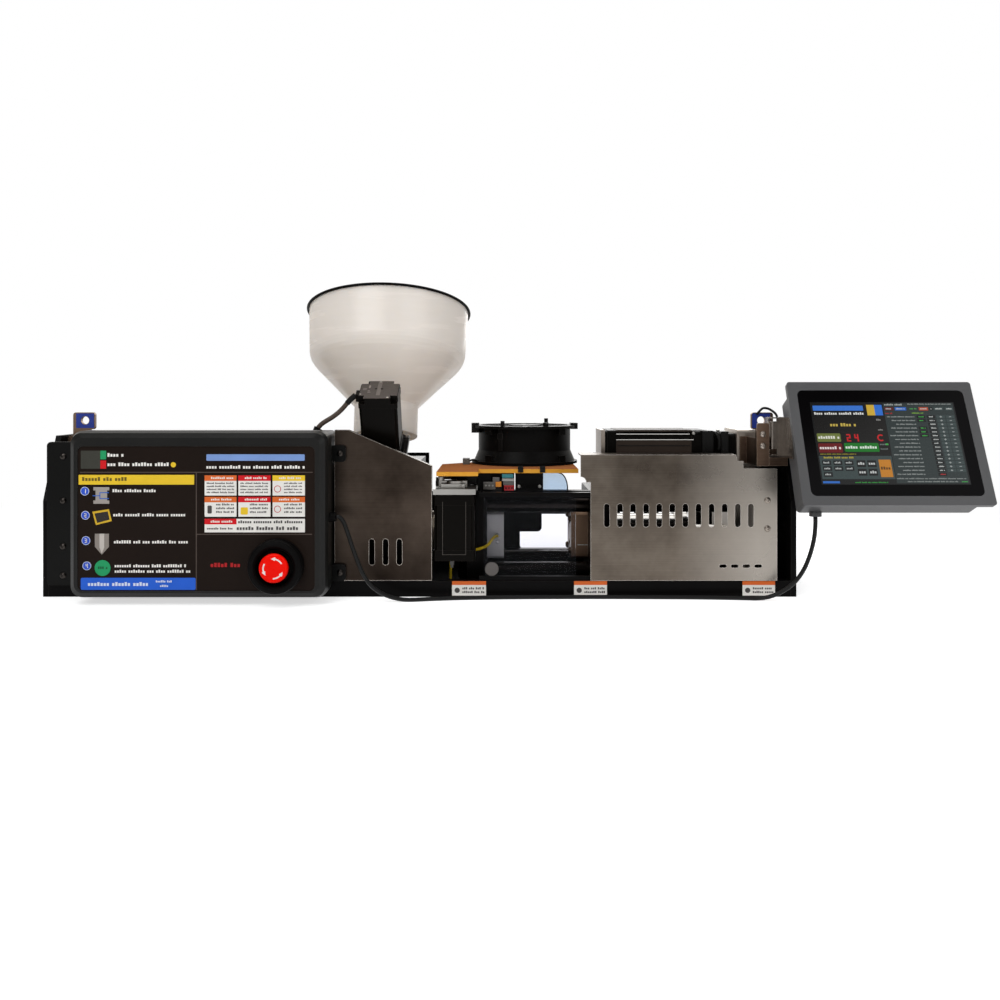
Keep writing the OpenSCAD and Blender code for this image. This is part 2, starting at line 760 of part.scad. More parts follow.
module hopper() color("#ece6dd") on_neck() difference() {
    rotate_extrude($fn = 96) difference() {
        hopper_outline(0, 0, hopper_top);
        hopper_outline(hopper_wall, hopper_wall, hopper_top + 1);
    }
    // Outlet in the neck's floor
    translate([0, 0, -1]) cylinder(r = outlet_r, h = hopper_wall + 2);
}

// Soft edging clipped over the hopper's rim
module hopper_rim() color("#232324") on_neck() translate([0, 0, hopper_top])
    rotate_extrude($fn = 96) difference() {
        union() {
            translate([rim_r - rim_in - hopper_wall - seat - 2, -edging_h])
                square([hopper_wall + 4, edging_h + 2]);
            translate([rim_r - edging_r, edging_r - edging_h]) circle(edging_r);
        }
        translate([rim_r - rim_in - hopper_wall - seat, -edging_h - 1])
            square([hopper_wall + 2 * seat, edging_h + 1 + top_gap]);
    }

// The auger's axis: from the hopper motor's end cap down into the feed block
module on_hmotor() translate([hmotor_x, hmotor_y, hmotor_z]) rotate([hmotor_lean, 0, 0]) children();

module feed_block() color("#242426") difference() {
    union() {
        translate([hopper_x - feed_w / 2, -74, 20]) cube([feed_w, 134, feed_top - 20]);
        // Leaning tube up to the hopper's neck, with a flange under the neck's floor
        on_neck() {
            translate([0, 0, -60]) cylinder(r = feed_tube_r, h = 60 - seat);
            translate([0, 0, -6]) cylinder(r = feed_tube_r + 6, h = 6 - seat);
        }
        // Foot on the base
        translate([hopper_x - feed_w / 2, -60, pan_t]) cube([feed_w, 120, 17]);
    }
    on_neck() translate([0, 0, -155]) cylinder(r = outlet_r, h = 156);
    on_hmotor() translate([0, 0, -hmotor_l - 140]) cylinder(r = auger_r + seat, h = 140);
    // Flat for the motor's bracket
    on_hmotor() translate([-60, -60, -hmotor_l - hbracket_t]) cube([120, 95, 60]);
    x_cyl([hopper_x - feed_w, 0, axis_z], barrel_r + run_fit, 2 * feed_w);
}

// Core with a helical flight
module feed_auger() color("#b8b8ba") on_hmotor() translate([0, 0, -hmotor_l - 124]) {
    cylinder(r = 5, h = 124 - seat);
    turns = 4.5;
    linear_extrude(turns * auger_pitch, twist = 360 * turns, slices = 54)
        translate([3, -1.5]) square([auger_r - 3, 3]);
}

// What a motor's rear cap is cut by: its square corner notches, a strap's groove and two holes
module end_cap_cuts(w) {
    for (a = [0:90:270]) rotate(a) translate([w / 2 - cap_notch, w / 2 - cap_notch, 0])
        cube([2 * cap_notch, 2 * cap_notch, cap_h + 1]);
    translate([-2, -w / 2 - 1, cap_h - 0.8]) cube([4, w + 2, 2]);
    for (x = [-6, 6]) translate([x, 4, cap_h - 4]) cylinder(r = 1.8, h = 5);
}

module hopper_motor() color("#1f1f20") {
    on_hmotor() translate([0, 0, -hmotor_l]) {
        difference() {
            square_motor(hmotor_w, hmotor_l, 4);
            translate([0, 0, hmotor_l - cap_h]) end_cap_cuts(hmotor_w);
        }
        // Plug of the lead, at the side of the rear cap
        translate([-hmotor_w / 2 - 6, -7, hmotor_l - 16]) cube([7, 14, 12]);
    }
}

module hopper_motor_bracket() color("#8f9092") on_hmotor() difference() {
    translate([-hmotor_w / 2 - 4, -hmotor_w / 2, -hmotor_l - hbracket_t + seat])
        cube([hmotor_w + 12, hmotor_w + 6, hbracket_t - seat]);
    translate([0, 0, -hmotor_l - 10]) cylinder(r = 5 + slack, h = 12);
}

// ---- Injection unit ----

module barrel() color("#7d7f82") difference() {
    x_cyl([barrel_plate_x, 0, axis_z], barrel_r, barrel_l);
    x_cyl([barrel_plate_x - 1, 0, axis_z], plunger_r + run_fit, barrel_l - 9);
    x_cyl([barrel_plate_x + 1, 0, axis_z], 4, barrel_l);
    // Feed port, open to the throat above
    translate([hopper_x, 0, axis_z]) rotate([-hopper_lean, 0, 0]) cylinder(r = 10, h = 40);
}

module heater_bands() color("#b9aa8c") for (i = [0:1]) difference() {
    union() {
        x_cyl([band_x0 + i * band_pitch, 0, axis_z], barrel_r + 4, band_w);
        translate([band_x0 + i * band_pitch + 3, -5, axis_z + barrel_r + 2]) cube([band_w - 6, 10, 9]);
    }
    x_cyl([band_x0 + i * band_pitch - 1, 0, axis_z], barrel_r + run_fit, band_w + 2);
    translate([band_x0 + i * band_pitch - 1, -1, axis_z + barrel_r - 2]) cube([band_w + 2, 2, 20]);
}

module nozzle() color("#6f7072") difference() {
    union() {
        translate([valve_x - valve_l / 2, -18, axis_z - 18]) cube([valve_l, 36, 36]);
        x_cyl([valve_x + valve_l / 2 - 1, 0, axis_z], 11, fixed_platen_x + platen_t - tip_l - valve_x - 13);
        translate([fixed_platen_x + platen_t - tip_l, 0, axis_z]) rotate([0, 90, 0])
            cylinder(r1 = 11, r2 = 4, h = tip_l);
    }
    x_cyl([valve_x - valve_l / 2 - 1, 0, axis_z], 2.5, platen_t + 60);
    translate([valve_x, 0, axis_z - 8]) cylinder(r = 5 + run_fit, h = 40);
}

module injection_plunger() color("#c9cacc")
    x_cyl([crosshead_x + crosshead_t - plunger_in, 0, axis_z], plunger_r,
        hopper_x - 30 - crosshead_x - crosshead_t + plunger_in);

// Crosshead on the guide rods, with the tube and the ball nut behind it
module plunger_carriage() color("#5a5c60") difference() {
    union() {
        side_plate(crosshead_x, crosshead_t) translate([-rod_y - 18, axis_z - crosshead_h / 2])
            round_rect(2 * rod_y + 36, crosshead_h, 10);
        x_cyl([crosshead_x - tube_l, 0, axis_z], tube_r, tube_l + 1);
    }
    x_cyl([crosshead_x - tube_l + nut_l, 0, axis_z], screw_r + 3, tube_l - nut_l);
    x_cyl([crosshead_x - tube_l - 1, 0, axis_z], screw_r + run_fit, nut_l + 2);
    x_cyl([crosshead_x + crosshead_t - plunger_in, 0, axis_z], plunger_r + 0.01, plunger_in + 2);
    for (y = [-rod_y, rod_y]) x_cyl([crosshead_x - 1, y, axis_z], rod_r + run_fit, crosshead_t + 2);
}

module guide_rods() color("#d0d1d3") for (y = [-rod_y, rod_y])
    x_cyl([bearing_plate_x + 1, y, axis_z], rod_r, barrel_plate_x + iplate_t - bearing_plate_x - 2);

module injection_plates() color("#9b9da0") {
    for (x = [bearing_plate_x, barrel_plate_x]) difference() {
        side_plate(x, iplate_t) difference() {
            translate([-plate_y, pan_t]) square([2 * plate_y, iplate_h]);
            for (s = [-1, 1]) translate([s * plate_y, pan_t + iplate_h]) rotate(45) square(24, center = true);
        }
        for (y = [-rod_y, rod_y]) x_cyl([x - 1, y, axis_z], rod_r + 0.01, iplate_t + 2);
        x_cyl([x - 1, 0, axis_z], (x == barrel_plate_x ? barrel_r : screw_r + 3) + run_fit, iplate_t + 2);
    }
}

module injection_screw() color("#b5b6b8") {
    x_cyl([bearing_plate_x - 0.5, 0, axis_z], screw_r, crosshead_x - 2 - bearing_plate_x);
    x_cyl([bearing_plate_x - 0.5, 0, axis_z], screw_r + 3, iplate_t);
}

module injection_motor() color("#1d1d1e") translate([bearing_plate_x - 1 - imotor_l, 0, axis_z])
    rotate([0, 90, 0]) square_motor(imotor_w, imotor_l, 6);

// ---- Nozzle valve ----

module valve_motor() color("#1f1f20") translate([valve_x, vmotor_y, platen_z - vmotor_l - seat])
    square_motor(vmotor_w, vmotor_l, 4);

module valve_motor_plate() color("#b4b6b8") difference() {
    translate([0, 0, platen_z]) linear_extrude(vplate_t) {
        translate([valve_x - vmotor_w / 2 - 1, front_y]) square([vmotor_w + 2, 72]);
        translate([fixed_platen_x - 18, front_y + 60]) square([18 + 16, 40]);
    }
    translate([valve_x, vmotor_y, platen_z - 1]) cylinder(r = 5 + slack, h = 20);
}

// Arm with a split clamp round its shaft, reaching to -X, its underside at z
module valve_arm(y, z, shaft_z) {
    translate([valve_x, y, z]) {
        difference() {
            linear_extrude(crank_t) {
                circle(14);
                translate([-crank_l, -7]) square([crank_l, 14]);
                translate([-crank_l, 0]) circle(7);
                translate([4, -8]) square([14, 16]);
            }
            translate([10, -0.8, -1]) cube([10, 1.6, 20]);
        }
        translate([-crank_l, 0, crank_t - 1]) cylinder(r = pin_r, h = link_t + seat + 1.7);
        translate([0, 0, shaft_z - z]) cylinder(r = 5, h = z - shaft_z + crank_t);
    }
}

module valve_crank() color("#c2c3c5") valve_arm(vmotor_y, crank_z, platen_z + seat);

module valve_lever() color("#a9abad") valve_arm(0, crank_z, axis_z - 7);

// Rod between the crank's pin and the lever's pin; the hole at the lever is the free one
module valve_link() color("#3a3b3d") translate([valve_x - crank_l, 0, link_z]) difference() {
    linear_extrude(link_t) {
        translate([-4, vmotor_y]) square([8, -vmotor_y]);
        for (y = [vmotor_y, 0]) translate([0, y]) circle(6.5);
    }
    translate([0, vmotor_y, -1]) cylinder(r = pin_r + run_fit, h = link_t + 2);
    translate([0, 0, -1]) cylinder(r = pin_r + seat, h = link_t + 2);
}

// ---- Mould and clamp ----

module platen_profile(y, z0, z1) difference() {
    translate([-y, z0]) square([2 * y, z1 - z0]);
    for (s = [-1, 1], z = [z0, z1]) translate([s * y, z]) rotate(45) square(8, center = true);
}

module fixed_platen() color("#1c1c1d") difference() {
    side_plate(fixed_platen_x, platen_t) platen_profile(plate_y, pan_t, platen_z);
    side_plate(fixed_platen_x - 1, platen_t + 2) at_tie_bars() circle(tie_r + run_fit);
    x_cyl([fixed_platen_x - 1, 0, axis_z], 13, platen_t + 2);
}

module tie_bars() color("#c6c7c9") {
    side_plate(fixed_platen_x - 14, tie_l) at_tie_bars() circle(tie_r);
    for (x = [fixed_platen_x - 12, thrust_x + thrust_t + seat])
        side_plate(x, 11.7) at_tie_bars() difference() {
            circle(tie_r + 6, $fn = 6);
            circle(tie_r + 0.01);
        }
}

// One half of the mould: a block with chamfered edges
module mould_half(x) side_plate(x, mould_t) mould_profile();

module mould_profile() difference() {
    translate([-mould_y, axis_z - mould_h / 2]) square([2 * mould_y, mould_h]);
    for (s = [-1, 1], z = [-1, 1]) translate([s * mould_y, axis_z + z * mould_h / 2])
        rotate(45) square(5, center = true);
}

// Sprue, cavity, guide holes and the sensor's hole in the front face are cut out
module fixed_mould_half() color("#8a8c8e") difference() {
    mould_half(mould_x - mould_t);
    x_cyl([mould_x - mould_t - 1, 0, axis_z], 2, mould_t + 2);
    x_cyl([mould_x - 6, 0, axis_z], cavity_r, 7);
    for (y = [-1, 1], z = [-1, 1])
        x_cyl([mould_x - 6, y * mould_pin_y, axis_z + z * mould_pin_z], mould_pin_r + run_fit, 8);
    y_cyl([mould_x - 10, -mould_y - 1, axis_z], 2.5, 13);
}

module moving_mould_half() color("#8b6f5c") {
    difference() {
        mould_half(moving_mould_x);
        x_cyl([moving_mould_x - 1, 0, axis_z], cavity_r, 4);
    }
    x_cyl([moving_mould_x, 0, axis_z], 14, 6);
    for (y = [-1, 1], z = [-1, 1]) {
        x_cyl([moving_mould_x - 2, y * mould_pin_y, axis_z + z * mould_pin_z], mould_pin_r, 4);
        translate([moving_mould_x - 4, y * mould_pin_y, axis_z + z * mould_pin_z])
            rotate([0, 90, 0]) cylinder(r1 = mould_pin_r - 2, r2 = mould_pin_r, h = 2);
    }
}

module moving_platen() color("#6e5546") difference() {
    side_plate(moving_platen_x, platen_t) platen_profile(plate_y - 4, pan_t + 2, platen_z - 3);
    side_plate(moving_platen_x - 1, platen_t + 2) at_tie_bars() circle(tie_r + run_fit);
}

// Tube behind the moving platen, with the ball nut in its rear end
module clamp_ram() color("#55575a") difference() {
    union() {
        x_cyl([ram_x, 0, axis_z], ram_r, ram_l);
        x_cyl([ram_x, 0, axis_z], ram_r + 10, 10);
        x_cyl([ram_x + ram_l - nut_l, 0, axis_z], ram_r + 4, nut_l);
    }
    x_cyl([ram_x + 4, 0, axis_z], screw_r + 4, ram_l - nut_l - 4);
    x_cyl([ram_x + 4, 0, axis_z], screw_r + run_fit, ram_l);
}

module thrust_plate() color("#b9bbbd") difference() {
    union() {
        side_plate(thrust_x, thrust_t) platen_profile(plate_y, pan_t, platen_z);
        side_plate(thrust_x, thrust_t) translate([-cmotor_y - cmotor_w / 2 - 1, platen_z - 20])
            round_rect(cmotor_w + 2, thrust_top - platen_z + 20, 5);
    }
    side_plate(thrust_x - 1, thrust_t + 2) at_tie_bars() circle(tie_r + run_fit);
    x_cyl([thrust_x - 1, 0, axis_z], screw_r + run_fit, thrust_t + 2);
    x_cyl([thrust_x - 1, -cmotor_y, cmotor_z], shaft_r + run_fit, thrust_t + 2);
}

module clamp_screw() color("#b5b6b8") {
    x_cyl([ram_x + 6, 0, axis_z], screw_r, screw_end_x - ram_x - 6);
}

// Flanged timing pulley with a toothed rim, on a shaft of radius bore
module pulley(y, z, r, bore, teeth) translate([belt_x - 2, y, z]) rotate([0, 90, 0]) difference() {
    union() {
        cylinder(r = r - 1.2, h = belt_w + 4);
        for (h = [0, belt_w + 3]) translate([0, 0, h]) cylinder(r = r + 1.5, h = 1);
        for (i = [0:teeth - 1]) rotate(i * 360 / teeth) translate([r - 2, -1.1, 0.5])
            cube([1.7, 2.2, belt_w + 3]);
    }
    if (bore > 0) translate([0, 0, -1]) cylinder(r = bore + 0.01, h = belt_w + 8);
}

module screw_pulley() color("#8d8f91") pulley(0, axis_z, big_pulley_r, screw_r, 36);

module motor_pulley() color("#8d8f91") {
    pulley(-cmotor_y, cmotor_z, small_pulley_r, 0, 18);
    x_cyl([thrust_x + slack, -cmotor_y, cmotor_z], shaft_r, screw_end_x - thrust_x - slack);
}

module belt_loop(grow) hull() {
    translate([0, axis_z]) circle(big_pulley_r + grow);
    translate([-cmotor_y, cmotor_z]) circle(small_pulley_r + grow);
}

module timing_belt() color("#161616") side_plate(belt_x, belt_w) difference() {
    belt_loop(belt_t + seat / 2);
    belt_loop(seat / 2);
}

module clamp_motor() color("#1e1e20") {
    translate([thrust_x - seat - cmotor_l, -cmotor_y, cmotor_z]) rotate([0, 90, 0]) {
        body_l = 0.74 * cmotor_l;
        front_l = cmotor_l - encoder_l - body_l;
        translate([0, 0, encoder_l]) square_motor(cmotor_w, body_l, 6);
        translate([-cmotor_w / 2 + 1, -cmotor_w / 2 + 1, 0])
            linear_extrude(encoder_l) round_rect(cmotor_w - 2, cmotor_w - 2, 8);
        translate([-cmotor_w / 2 + 5, -cmotor_w / 2 + 5, encoder_l + body_l - 1])
            linear_extrude(front_l + 1) round_rect(cmotor_w - 10, cmotor_w - 10, 8);
    }
}

// Guard over the motor's pulley, open below where the belt goes down
module pulley_cover() color("#1b1b1c") {
    x0 = thrust_x + thrust_t + seat;
    w = in_x - seat - x0;
    difference() {
        side_plate(x0, w) translate([-cmotor_y - small_pulley_r - 12, cmotor_z - 4])
            round_rect(2 * small_pulley_r + 24, small_pulley_r + 20, 8);
        side_plate(x0 + 2, w - 4) translate([-cmotor_y - small_pulley_r - 8, cmotor_z - 20])
            round_rect(2 * small_pulley_r + 16, small_pulley_r + 32, 6);
        x_cyl([x0 - 1, -cmotor_y, cmotor_z], shaft_r + slack, w + 2);
    }
}

// ---- Guard ----

// Two channels that hold the door's top and bottom edges
module guard_tracks() color("#1b1b1c") {
    for (z = [door_z - 3, door_z + door_h - 3]) difference() {
        translate([track_x, door_y - track_lip - seat, z])
            cube([track_l, door_t + 2 * track_lip + 2 * seat, 6]);
        translate([track_x + 3, door_y - seat, z < platen_z - 20 ? door_z - seat : z - 1])
            cube([track_l - 6, door_t + 2 * seat, z < platen_z - 20 ? 10 : 4 + seat]);
    }
    // Brackets from the top channel to the cross bar behind
    for (x = [fixed_platen_x + 24, track_x + track_l - 22])
        translate([x, track_back_y - slack, platen_z - 3])
            cube([14, bar_y - seat - track_back_y + slack, 3 - seat]);
}

module guard_door() color("#c8d2d4", 0.35) difference() {
    translate([door_x, door_y, door_z]) cube([door_w, door_t, door_h]);
    y_cyl([knob_x, door_y - 1, knob_z], knob_pin_r + run_fit, door_t + 2);
}

module guard_knob() color("#77797b") translate([knob_x, door_y, knob_z]) rotate([90, 0, 0]) {
    rotate_extrude() polygon([
        [0, 0], [knob_r - 3, 0], [knob_r - 3, 2.5], [knob_r, 3.5], [knob_r, 6], [knob_r - 1, 7], [0, 7]
    ]);
    translate([0, 0, -door_t]) cylinder(r = knob_pin_r, h = door_t + 1);
}

// ---- Fan and board ----

module fan_board() color("#c08a4a") difference() {
    translate([0, 0, board_z]) linear_extrude(board_t) polygon([
        [valve_x - 26, front_y + seat], [mould_x - 38, front_y + seat], [mould_x - 38, front_y + 51],
        [mould_x + 112, front_y + 51], [mould_x + 112, fan_y + fan_r + 6], [valve_x + 20, fan_y + fan_r + 6],
        [valve_x + 20, 40], [valve_x - 26, 0]
    ]);
    translate([fan_x, fan_y, board_z - 1]) cylinder(r = duct_r - 4, h = board_t + 2);
}

// Cross bar between the fixed platen and the thrust plate, with the board's stands on it
module fan_bracket() color("#1d1d1e") {
    x0 = fixed_platen_x + platen_t / 2;
    translate([x0, bar_y, platen_z - 12]) cube([thrust_x - seat - x0, 12, 12]);
    for (x = [fan_x - 17, mould_x - 36]) translate([x, bar_y - 5, platen_z - 0.01]) difference() {
        cube([x == fan_x - 17 ? 42 : 16, 17, board_z - platen_z]);
        translate([-1, 3, 3]) cube([60, 30, board_z - platen_z - 6]);
    }
    // Rear stand, on the fixed platen's top
    translate([fixed_platen_x + 4, plate_y - 30, platen_z]) cube([22, 20, board_z - platen_z]);
}

module fan_housing() color("#17171a") translate([fan_x, fan_y, fan_z]) {
    difference() {
        union() {
            cylinder(r = duct_r, h = fan_h, $fn = 96);
            for (z = [0, fan_h - 4]) translate([0, 0, z]) cylinder(r = fan_r, h = 4, $fn = 96);
            // Flare from the duct to the lower flange
            translate([0, 0, 4 - 0.01]) cylinder(r1 = fan_r - 4, r2 = duct_r - 0.5, h = flare_h, $fn = 96);
            // Screw lugs between the flanges
            for (a = fan_lug_a, z = [0, fan_h - fan_lug_w]) rotate(a)
                translate([duct_r - 1, -fan_lug_w / 2, z])
                    cube([fan_r - duct_r - 2, fan_lug_w, fan_lug_w]);
        }
        translate([0, 0, -1]) cylinder(r = duct_r - 4, h = fan_h + 2, $fn = 96);
    }
    // Bearing hub on four arms, over the rotor
    translate([0, 0, fan_h - 5]) {
        cylinder(r = 26, h = 5);
        for (a = [0:90:270]) rotate(a) translate([20, -4, 0]) cube([duct_r - 22, 8, 4]);
    }
    // Finger guard
    for (r = [38, 50, 62]) translate([0, 0, fan_h - 2.5]) rotate_extrude()
        translate([r, 0]) circle(1.2, $fn = 16);
    for (a = fan_lug_a) rotate(a) translate([fan_r - 6, 0, -spacer_h]) cylinder(r = 5, h = spacer_h + 0.01);
    // Head of the cable clip's screw, on the upper flange
    rotate(clip_a) translate([fan_r - 5.5, 0, fan_h - 0.01]) cylinder(r = 4.5, h = 6);
}

module fan_rotor() color("#222226") translate([fan_x, fan_y, fan_z]) {
    cylinder(r = 32, h = fan_h - 12);
    translate([0, 0, fan_h - 13]) cylinder(r = 6, h = 13 - 5 - seat);
    intersection() {
        translate([0, 0, 6]) cylinder(r = duct_r - 6, h = fan_h - 20);
        for (i = [0:blade_n - 1]) rotate(i * 360 / blade_n) translate([28, 0, (fan_h - 8) / 2])
            rotate([38, 0, 0]) translate([0, -26, -1.25]) cube([duct_r, 52, 2.5]);
    }
}

// ---- Operator display ----

// The display's own frame: X along its width, Y up its face, Z out of the screen
module on_hmi() translate([hmi_x, hmi_y, hmi_z]) rotate([90 - hmi_lean, 0, 0]) children();

// Folded strap on the thrust plate's front, with the block that holds the swivel's pin
module hmi_bracket() color("#b6b8ba") {
    back_y = -cmotor_y - cmotor_w / 2 - 1 - seat;
    front_sheet(front_y - 2 - seat, 2) difference() {
        translate([strap_x, strap_z]) round_rect(strap_w, strap_h, 3);
        for (z = hmi_screw_z) translate([strap_screw_x, z]) circle(2.4 + run_fit);
    }
    translate([strap_x, front_y - 2 - seat, strap_z]) cube([2, back_y - front_y + 2 + seat, 40]);
    translate([thrust_x + 4, back_y - 2, strap_z]) cube([strap_x - thrust_x - 3, 2, 40]);
    difference() {
        translate([strap_x, front_y - 1, strap_z])
            cube([pivot_x + 13 - strap_x, pivot_y + 13 - front_y, block_h]);
        translate([pivot_x, pivot_y, strap_z - 1]) cylinder(r = 5 + run_fit, h = 30);
    }
}

// The channel's front web and left flange, seen from above, with the round bend between them
module arm_bend() {
    x = pivot_x - arm_r;
    y = pivot_y - arm_r;
    translate([x + bend_r, y]) square([arm_x - x - bend_r, arm_t]);
    translate([x, y + bend_r]) square([arm_t, 2 * arm_r - bend_r]);
    translate([x + bend_r, y + bend_r]) intersection() {
        difference() {
            circle(bend_r);
            circle(bend_r - arm_t);
        }
        translate([-bend_r, -bend_r]) square(bend_r);
    }
}

// Folded channel that turns on the swivel's pin, screwed to the display's side
module hmi_arm() color("#c0c2c4") difference() {
    hmi_arm_form();
    // Relief notches at the bend, above and below
    for (cut = [[arm_t + 1, notch_h], [arm_h - 6, 4]])
        translate([pivot_x - arm_r - 1, pivot_y - arm_r - 1, arm_z + cut[0]])
            cube([notch_w + 1, bend_r + 1, cut[1]]);
}

module hmi_arm_form() {
    translate([pivot_x - arm_r, pivot_y - arm_r, arm_z]) cube([arm_x - pivot_x + arm_r, 2 * arm_r, arm_t]);
    translate([arm_x - arm_t, hmi_y + 26, arm_z]) cube([arm_t, pivot_y + arm_r - hmi_y - 26, arm_h]);
    translate([0, 0, arm_z]) linear_extrude(arm_h) arm_bend();
    translate([pivot_x, pivot_y, strap_z + 1]) cylinder(r = 5, h = arm_z - strap_z);
}

module hmi_housing() color("#3f4042") {
    on_hmi() {
        translate([-hmi_w / 2, -hmi_h / 2, -bezel_t]) difference() {
            linear_extrude(bezel_t) round_rect(hmi_w, hmi_h, 4);
            translate([13, 13, bezel_t - 2.5]) linear_extrude(5) round_rect(hmi_w - 26, hmi_h - 26, 8);
        }
        translate([-hmi_w / 2 + 8, -hmi_h / 2 + 8, -bezel_t - hmi_d]) linear_extrude(hmi_d + 1)
            round_rect(hmi_w - 16, hmi_h - 16, 5);
    }
    // Gland under the housing's rear edge
    translate(hmi_gland + [0, 0, slack]) {
        cylinder(r = 7, h = 22);
        cylinder(r = 8.5, h = 6);
    }
}

module hmi_glass() color("#0c0d10") on_hmi() translate([-hmi_w / 2 + 13 + seat, -hmi_h / 2 + 13 + seat, -2.5])
    linear_extrude(2) round_rect(hmi_w - 26 - 2 * seat, hmi_h - 26 - 2 * seat, 8 - seat);

// ---- Cables ----

module hmi_cable() color("#111112") cable(smooth(hmi_cable_route, 3), hmi_cable_r);

module hopper_motor_lead() color("#4a443f") cable(smooth(lead_route, 2), lead_r);

base_pan();
end_plates();
rear_cover();
injection_cover();
clamp_cover();
lifting_lugs();
cover_screws();
enclosure_box();
enclosure_lid();
panel_overlay();
estop_collar();
estop_plunger();
estop_head();
cable_gland();
hopper();
hopper_rim();
feed_block();
feed_auger();
hopper_motor();
hopper_motor_bracket();
barrel();
heater_bands();
nozzle();
injection_plunger();
plunger_carriage();
guide_rods();
injection_plates();
injection_screw();
injection_motor();
valve_motor();
valve_motor_plate();
valve_crank();
valve_link();
valve_lever();
fixed_platen();
tie_bars();
fixed_mould_half();
moving_mould_half();
moving_platen();
clamp_ram();
thrust_plate();
clamp_screw();
screw_pulley();
clamp_motor();
motor_pulley();
timing_belt();
pulley_cover();
guard_tracks();
guard_door();
guard_knob();
fan_board();
fan_bracket();
fan_housing();
fan_rotor();
hmi_bracket();
hmi_arm();
hmi_housing();
hmi_glass();
hmi_cable();
hopper_motor_lead();
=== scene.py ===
"""Looks for the desktop injection moulding machine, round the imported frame.

Metres, in the row frame: X to the right, Y to the rear, Z up, with the origin in the middle of the
machine's underside. The CAD nodes keep their shapes and get materials. Print, screens, wires and
small hardware are made here. Helpers take millimetres where their name ends in _mm.
"""
import functools
import json
import math
import random

import bmesh
import bpy
from mathutils import Matrix, Vector
from mathutils.bvhtree import BVHTree

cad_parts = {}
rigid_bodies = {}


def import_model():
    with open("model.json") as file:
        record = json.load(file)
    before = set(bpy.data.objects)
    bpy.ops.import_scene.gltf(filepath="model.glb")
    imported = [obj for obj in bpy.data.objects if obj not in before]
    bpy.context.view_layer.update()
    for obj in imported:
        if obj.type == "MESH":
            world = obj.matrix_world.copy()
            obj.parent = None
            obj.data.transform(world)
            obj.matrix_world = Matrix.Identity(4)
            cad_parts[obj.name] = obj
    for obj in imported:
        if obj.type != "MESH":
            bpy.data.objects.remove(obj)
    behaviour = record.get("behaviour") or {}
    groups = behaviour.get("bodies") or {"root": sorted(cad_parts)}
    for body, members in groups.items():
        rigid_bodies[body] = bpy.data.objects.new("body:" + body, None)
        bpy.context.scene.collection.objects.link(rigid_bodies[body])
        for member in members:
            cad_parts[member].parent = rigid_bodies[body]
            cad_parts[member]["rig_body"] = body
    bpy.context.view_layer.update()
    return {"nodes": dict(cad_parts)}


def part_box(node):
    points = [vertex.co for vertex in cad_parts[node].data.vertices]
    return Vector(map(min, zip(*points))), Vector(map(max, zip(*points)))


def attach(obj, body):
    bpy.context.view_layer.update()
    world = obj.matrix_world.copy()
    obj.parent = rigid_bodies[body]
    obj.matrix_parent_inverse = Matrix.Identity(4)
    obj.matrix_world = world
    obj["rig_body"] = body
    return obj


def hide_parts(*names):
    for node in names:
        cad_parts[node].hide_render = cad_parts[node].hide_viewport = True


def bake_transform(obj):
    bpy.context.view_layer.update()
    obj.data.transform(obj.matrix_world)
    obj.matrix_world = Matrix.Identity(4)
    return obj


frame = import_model()
NODES = frame["nodes"]
MM = 0.001
TINY = 1e-6


# ---- shader nodes and meshes

def plug(nt, node, inputs):
    """Gives each input of a node its value, or links it where an output is given."""
    for socket, value in inputs.items():
        if isinstance(value, bpy.types.NodeSocket):
            nt.links.new(value, node.inputs[socket])
        else:
            node.inputs[socket].default_value = value
    return node


def add_node(nt, kind, inputs=None, **settings):
    """A new shader node with its settings and inputs."""
    node = nt.nodes.new("ShaderNode" + kind)
    for name, value in settings.items():
        setattr(node, name, value)
    return plug(nt, node, inputs or {})


def combine(nt, operation, *values):
    """A Math node's outcome."""
    return add_node(nt, "Math", dict(enumerate(values)), operation=operation).outputs[0]


def choose(nt, factor, first, second):
    """The first shader where the factor is 0, and the second where it is 1."""
    return add_node(nt, "MixShader", {0: factor, 1: first, 2: second}).outputs[0]


def remap(nt, value, low, high, out_low=0.0, out_high=1.0):
    """value from low..high to out_low..out_high, held at both ends."""
    return add_node(nt, "MapRange", {"Value": value, "From Min": low, "From Max": high,
                                     "To Min": out_low, "To Max": out_high}).outputs[0]


def along_axis(nt, vector, axis):
    return add_node(nt, "SeparateXYZ", {0: vector}).outputs[axis]


def finish_mesh(name, bm, mat):
    """Turns a bmesh in metres into a linked object with its material."""
    mesh = bpy.data.meshes.new(name)
    bm.to_mesh(mesh)
    bm.free()
    mesh.materials.append(mat)
    obj = bpy.data.objects.new(name, mesh)
    bpy.context.collection.objects.link(obj)
    return obj


# ---- camera, light and floor

CAMERA_AT = (0.1165, -1.55, 0.30)
LENS = 34.74
SENSOR = 36.0
SHIFT_Y = -0.11

FLOOR_WHITE = (0.86, 0.86, 0.86, 1)
FLOOR_HALF = 12.0
FLOOR_LIFT = 0.62   # shine that the camera sees on top of the lit floor
FLOOR_FADE = (0.8, 1.5)   # from here to here, metres from the middle, the floor turns white
FILL = 0.24
MIRRORED = (-0.4, 0.6, 0.07, 0.9)  # strength against the direction: front to rear

# Where each lamp stands, where it points, its side in metres and its watts
LAMPS = {
    "key": ((-0.9, -1.9, 1.9), (0.05, 0, 0.12), 1.6, 30),
    "fill": ((1.7, -1.6, 1.1), (0.2, 0, 0.12), 1.4, 12),
    "top": ((0.1, 0.2, 2.1), (0.1, 0, 0.1), 1.8, 16),
    "rear": ((0.4, 2.2, 1.2), (0.1, 0, 0.15), 1.6, 22),
}


